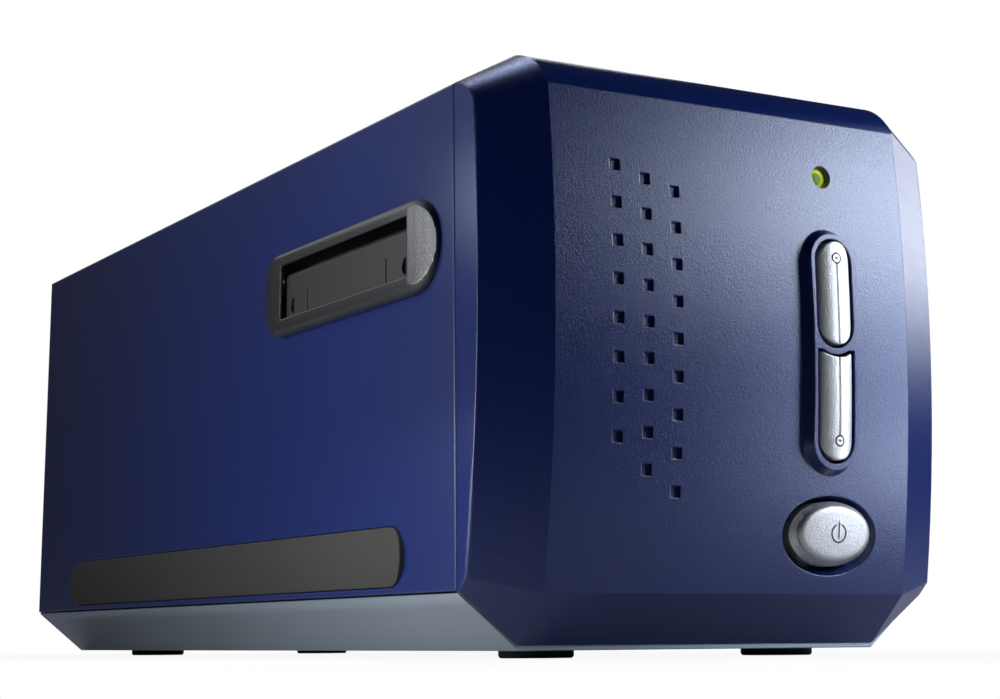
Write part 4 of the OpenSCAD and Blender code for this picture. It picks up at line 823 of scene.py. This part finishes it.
upper_ring_z, upper_groove = UPPER[1] - 3.6, (UPPER[0] + 0.5, UPPER[1] - 4.9)
lower_ring_z, lower_groove = LOWER[0] + 3.9, (LOWER[0] + 5.2, HORN - 1.2)
upper_key = scan_key("upper_key_cap", "upper_scan_button", "upper_key", upper_outline, in_upper,
                     upper_ring_z, upper_groove)
lower_key = scan_key("lower_key_cap", "lower_scan_button", "lower_key", lower_outline, in_lower,
                     lower_ring_z, lower_groove)
print("scan keys:", len(upper_key.data.polygons), "and", len(lower_key.data.polygons), "faces")

# %% [markdown]
# ## The power key
# An oval key with a leaning flank and a slightly domed top. The usual mark for on and off, a
# broken ring with a bar, is engraved in its middle. The same lid serves, with a wider roll.

# %% Power key
POWER_X, POWER_Z, DOME_R, DOME_PROUD = 23.6, 24.25, 70.0, 2.5
TOP_A, BASE_A = 9.2, 10.5                       # half lengths of the top and of the foot
OVAL = 13 / 21                                  # height of the oval to its length
OVAL_ROLL, OVAL_STEP, OVAL_TURN = 1.1, 0.6, 3   # millimetres, millimetres, degrees
MARK_X, MARK_R, MARK_BAR = POWER_X + 0.4, 1.8, (-0.9, 2.1)
MARK_ARC = (115, 425)                           # degrees; it is open by 50 at its top
# The mark's bed is painted with shade, as the rings' beds are
MARK = (0.2, 0.18, True)                        # half width, depth, inked
POWER_TAB_HALF = 3
lean = (POWER_Z - BOW_Z) / math.sqrt(BOW_R ** 2 - (POWER_Z - BOW_Z) ** 2)


def face_plane(z):
    return bow(POWER_Z) + (z - POWER_Z) * lean


def dome(x, z):
    r2 = (x - POWER_X) ** 2 + (z - POWER_Z) ** 2
    return face_plane(z) - DOME_PROUD + DOME_R - math.sqrt(DOME_R ** 2 - r2)


def in_oval(x, z):
    dx, dz = (x - POWER_X) / TOP_A, (z - POWER_Z) / (TOP_A * OVAL)
    s = math.hypot(dx, dz) or TINY
    return (1 - s) * s / math.hypot(dx / TOP_A, dz / (TOP_A * OVAL))


def to_foot(x, y, z):
    grow = BASE_A / TOP_A
    foot_z = POWER_Z + (z - POWER_Z) * grow
    return POWER_X + (x - POWER_X) * grow, face_plane(foot_z), foot_z


oval = [(POWER_X + TOP_A * math.cos(math.radians(a)),
         POWER_Z + TOP_A * OVAL * math.sin(math.radians(a))) for a in range(0, 360, OVAL_TURN)]
marks = [(arc(MARK_X, POWER_Z, MARK_R, *MARK_ARC, ROUND_SIDES), *MARK),
         ([(MARK_X, POWER_Z + end) for end in MARK_BAR], *MARK)]
bm = lid(oval, in_oval, dome, marks, step=OVAL_STEP, roll=OVAL_ROLL)
low, high = box_mm("power_button")
tab_y = bow(POWER_Z - POWER_TAB_HALF, WALL) + FIT
skirt(bm, to_foot)
skirt(bm, lambda x, y, z: (x, tab_y, z))
brick(bm, (low[0], tab_y, POWER_Z - POWER_TAB_HALF),
      (high[0], tab_y + TAB_T, POWER_Z + POWER_TAB_HALF))
stem(bm, KEY_X, POWER_Z, tab_y, high[1], STEM_R)
power_key = piece("power_key_cap", bm, [button_silver, engraving_shade], "power_key", "power_button")
print("power key:", len(power_key.data.polygons), "faces")

# %% [markdown]
# ## The indicator
# The light pipe ends in a small dome that sits deep in its hole, and a flange holds it behind
# the bezel. It is round about one axis, so its profile is turned as on a lathe.

# %% Indicator dome
LENS_X, LENS_Z, LENS_R = 23.0, 98.5, 2.1
LENS_SUNK = 1.1                                 # the crest lies this far behind the face
LENS_BOW, LENS_ROLL = 0.12, 0.5                 # nearly flat, then rolled over at the rim
LENS_STEPS, LENS_SIDES = 10, 64
FLANGE, FLANGE_T = 1.2, 1


def lathe(bm, profile, centre_x, centre_z, count):
    """Turns (radius, y) pairs, in mm, round an axis along Y."""
    turns = [2 * math.pi * k / count for k in range(count)]
    rings = []
    for r, y in profile:
        spokes = [(0, 0)] if r < TINY else [(r * math.cos(a), r * math.sin(a)) for a in turns]
        rings.append([bm.verts.new(((centre_x + dx) * MM, y * MM, (centre_z + dz) * MM))
                      for dx, dz in spokes])
    for a, b in zip(rings, rings[1:]):
        for k in range(count):
            corners = [a[k % len(a)], a[(k + 1) % len(a)], b[(k + 1) % len(b)], b[k % len(b)]]
            corners = list(dict.fromkeys(corners))
            if len(corners) > 2:
                bm.faces.new(corners)


high = box_mm("indicator_lens")[1]
crest = bow(LENS_Z) + LENS_SUNK
shares = [k / LENS_STEPS for k in range(LENS_STEPS + 1)]
profile = [(LENS_R * s, crest + LENS_BOW * s ** 2 + LENS_ROLL * s ** 8) for s in shares]
inner = bow(LENS_Z, WALL) + FIT
profile += [(LENS_R, inner), (LENS_R + FLANGE, inner), (LENS_R + FLANGE, inner + FLANGE_T),
            (LENS_R, inner + FLANGE_T), (LENS_R, high[1]), (0, high[1])]
bm = bmesh.new()
lathe(bm, profile, LENS_X, LENS_Z, LENS_SIDES)
lens_cap = piece("indicator_dome", bm, [lens_green], "case", "indicator_lens")
print("indicator dome:", len(lens_cap.data.polygons), "faces")

# %% [markdown]
# ## Screws with a cross recess
# Four screws hold the rear panel and four more, in deep wells, close the tray. A low flat head
# with a cross recess is drawn once with the same lid function, and then set down in each place.

# %% Screw heads
HEAD_R, HEAD_TURN, HEAD_STEP = 2.8, 6, 0.6      # millimetres, degrees, millimetres
SHANK_R = 1.5
# The cross recess is left without painted shade
CROSS_HALF, CROSS = 1.5, (0.5, 0.8, False)      # half length; half width, depth, inked
OVERLAP = 0.05                                  # how far the shank reaches into the head
PANEL_HEAD, TRAY_HEAD = 1.34, 2.0               # heights of the heads


def in_head(x, z):
    return HEAD_R - math.hypot(x, z)


def screw_set(name, node, places, turn, head_h, shank_l):
    bars = [([(-CROSS_HALF, 0), (CROSS_HALF, 0)], *CROSS),
            ([(0, -CROSS_HALF), (0, CROSS_HALF)], *CROSS)]
    outline = arc(0, 0, HEAD_R, 0, 360 - HEAD_TURN, 360 // HEAD_TURN - 1)
    one = lid(outline, in_head, lambda x, z: 0.0, bars, step=HEAD_STEP)
    skirt(one, lambda x, y, z: (x, head_h, z))
    stem(one, 0, 0, head_h - OVERLAP, shank_l, SHANK_R)
    single = bpy.data.meshes.new("single_" + name)
    one.to_mesh(single)
    one.free()
    bm = bmesh.new()
    for place in places:
        count = len(bm.verts)
        bm.from_mesh(single)
        bm.verts.ensure_lookup_table()
        bmesh.ops.transform(bm, matrix=Matrix.Translation(Vector(place) * MM) @ turn,
                            verts=bm.verts[count:])
    bpy.data.meshes.remove(single)
    return piece(name, bm, [SLOT_FINISH["steel"]], "case", node)


low, high = box_mm("rear_screws")
rear_places = [(side * (high[0] - HEAD_R), high[1], z)
               for side in (-1, 1) for z in (low[2] + HEAD_R, high[2] - HEAD_R)]
rear_heads = screw_set("rear_screw_set", "rear_screws", rear_places,
                       Matrix.Rotation(math.pi, 4, "Z"), PANEL_HEAD, high[1] - low[1])
low, high = box_mm("base_screws")
base_places = [(side * (high[0] - HEAD_R), y, low[2])
               for side in (-1, 1) for y in (low[1] + HEAD_R, high[1] - HEAD_R)]
base_heads = screw_set("base_screw_set", "base_screws", base_places,
                       Matrix.Rotation(math.pi / 2, 4, "X"), TRAY_HEAD, high[2] - low[2])
print("screws:", len(rear_heads.data.polygons), "and", len(base_heads.data.polygons), "faces")

# %% [markdown]
# ## Slot surrounds that fall away at their ends
# The moulded surround is full height beside the slot and slopes down towards its two round
# ends. The solid is flat there, so its mesh is copied and three planes an end shave the slope
# off it. Weighted normals then keep the flat rims flat and let the slope look like one curve.

# %% Sloping ends
SLOT_FRONT, SLOT_BACK = -0.10355, -0.04155      # y of the slot's ends, in metres
SLOPE_AFTER = 0.0004                            # the slope starts this far beyond the slot
FRONT_TILTS, BACK_TILTS = (9, 12, 15), (5, 9, 13)       # degrees
CUT_WITHIN, SAME = 1e-7, 1e-5                   # metres
SHELL_SMOOTH_BELOW = 30                         # degrees


def shave(bm, face_x, out, toward, start, end, tilts):
    """Cuts one end of the surround with a plane for each tilt."""
    step = abs(end - start) / len(tilts)
    drop, y = 0.0, start
    for tilt in tilts:
        angle = math.radians(tilt)
        cut = bmesh.ops.bisect_plane(
            bm, geom=bm.verts[:] + bm.edges[:] + bm.faces[:], dist=CUT_WITHIN,
            plane_co=(face_x - out * drop, y, 0),
            plane_no=Vector((out * math.cos(angle), toward * math.sin(angle), 0)),
            clear_outer=True)
        rim = [e for e in cut["geom_cut"] if isinstance(e, bmesh.types.BMEdge) and e.is_boundary]
        bmesh.ops.holes_fill(bm, edges=rim, sides=0)
        drop += step * math.tan(angle)
        y += toward * step


def shaved_surround(side, out):
    node = side + "_slot_surround"
    bm = bmesh.new()
    bm.from_mesh(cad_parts[node].data)
    bmesh.ops.remove_doubles(bm, verts=bm.verts, dist=SAME)
    low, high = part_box(node)
    face_x = low.x if out < 0 else high.x
    shave(bm, face_x, out, -1, SLOT_FRONT - SLOPE_AFTER, low.y, FRONT_TILTS)
    shave(bm, face_x, out, 1, SLOT_BACK + SLOPE_AFTER, high.y, BACK_TILTS)
    for edge in bm.edges:
        if all(abs(v.co.x - face_x) < SAME for v in edge.verts):
            edge.smooth = False
    obj = piece(side + "_surround_shell", bm, [trim_black], "case", node,
                smooth_below=SHELL_SMOOTH_BELOW)
    normals = obj.modifiers.new("face_normals", "WEIGHTED_NORMAL")
    normals.keep_sharp = True
    return obj


for side, out in (("left", -1), ("right", 1)):
    shell = shaved_surround(side, out)
    print(shell.name, len(shell.data.polygons), "faces")

# %% [markdown]
# ## Seals in the seam
# Cover and tray meet with a hair-thin seam. Along the sides the tray's tongue stands behind it;
# at the two rear corners a black foam strip closes it, so that no daylight and no dust comes
# through, and its black is painted shade that keeps the seam there dark.

# %% Foam strips at the rear corners
SEAL_X, SEAL_Y, SEAL_Z = (53.5, 56.6), (133.0, 137.3), (12.25, 12.67)

# Painted shade: the strips are black, so the seam at the corners shows dark
bm = bmesh.new()
for side in (-1, 1):
    near, far = sorted(side * x for x in SEAL_X)
    brick(bm, (near, SEAL_Y[0], SEAL_Z[0]), (far, SEAL_Y[1], SEAL_Z[1]))
shade_seals = piece("rear_seam_shade_seals", bm, [foot_rubber], "case", None)
print("seals:", len(shade_seals.data.polygons), "faces")
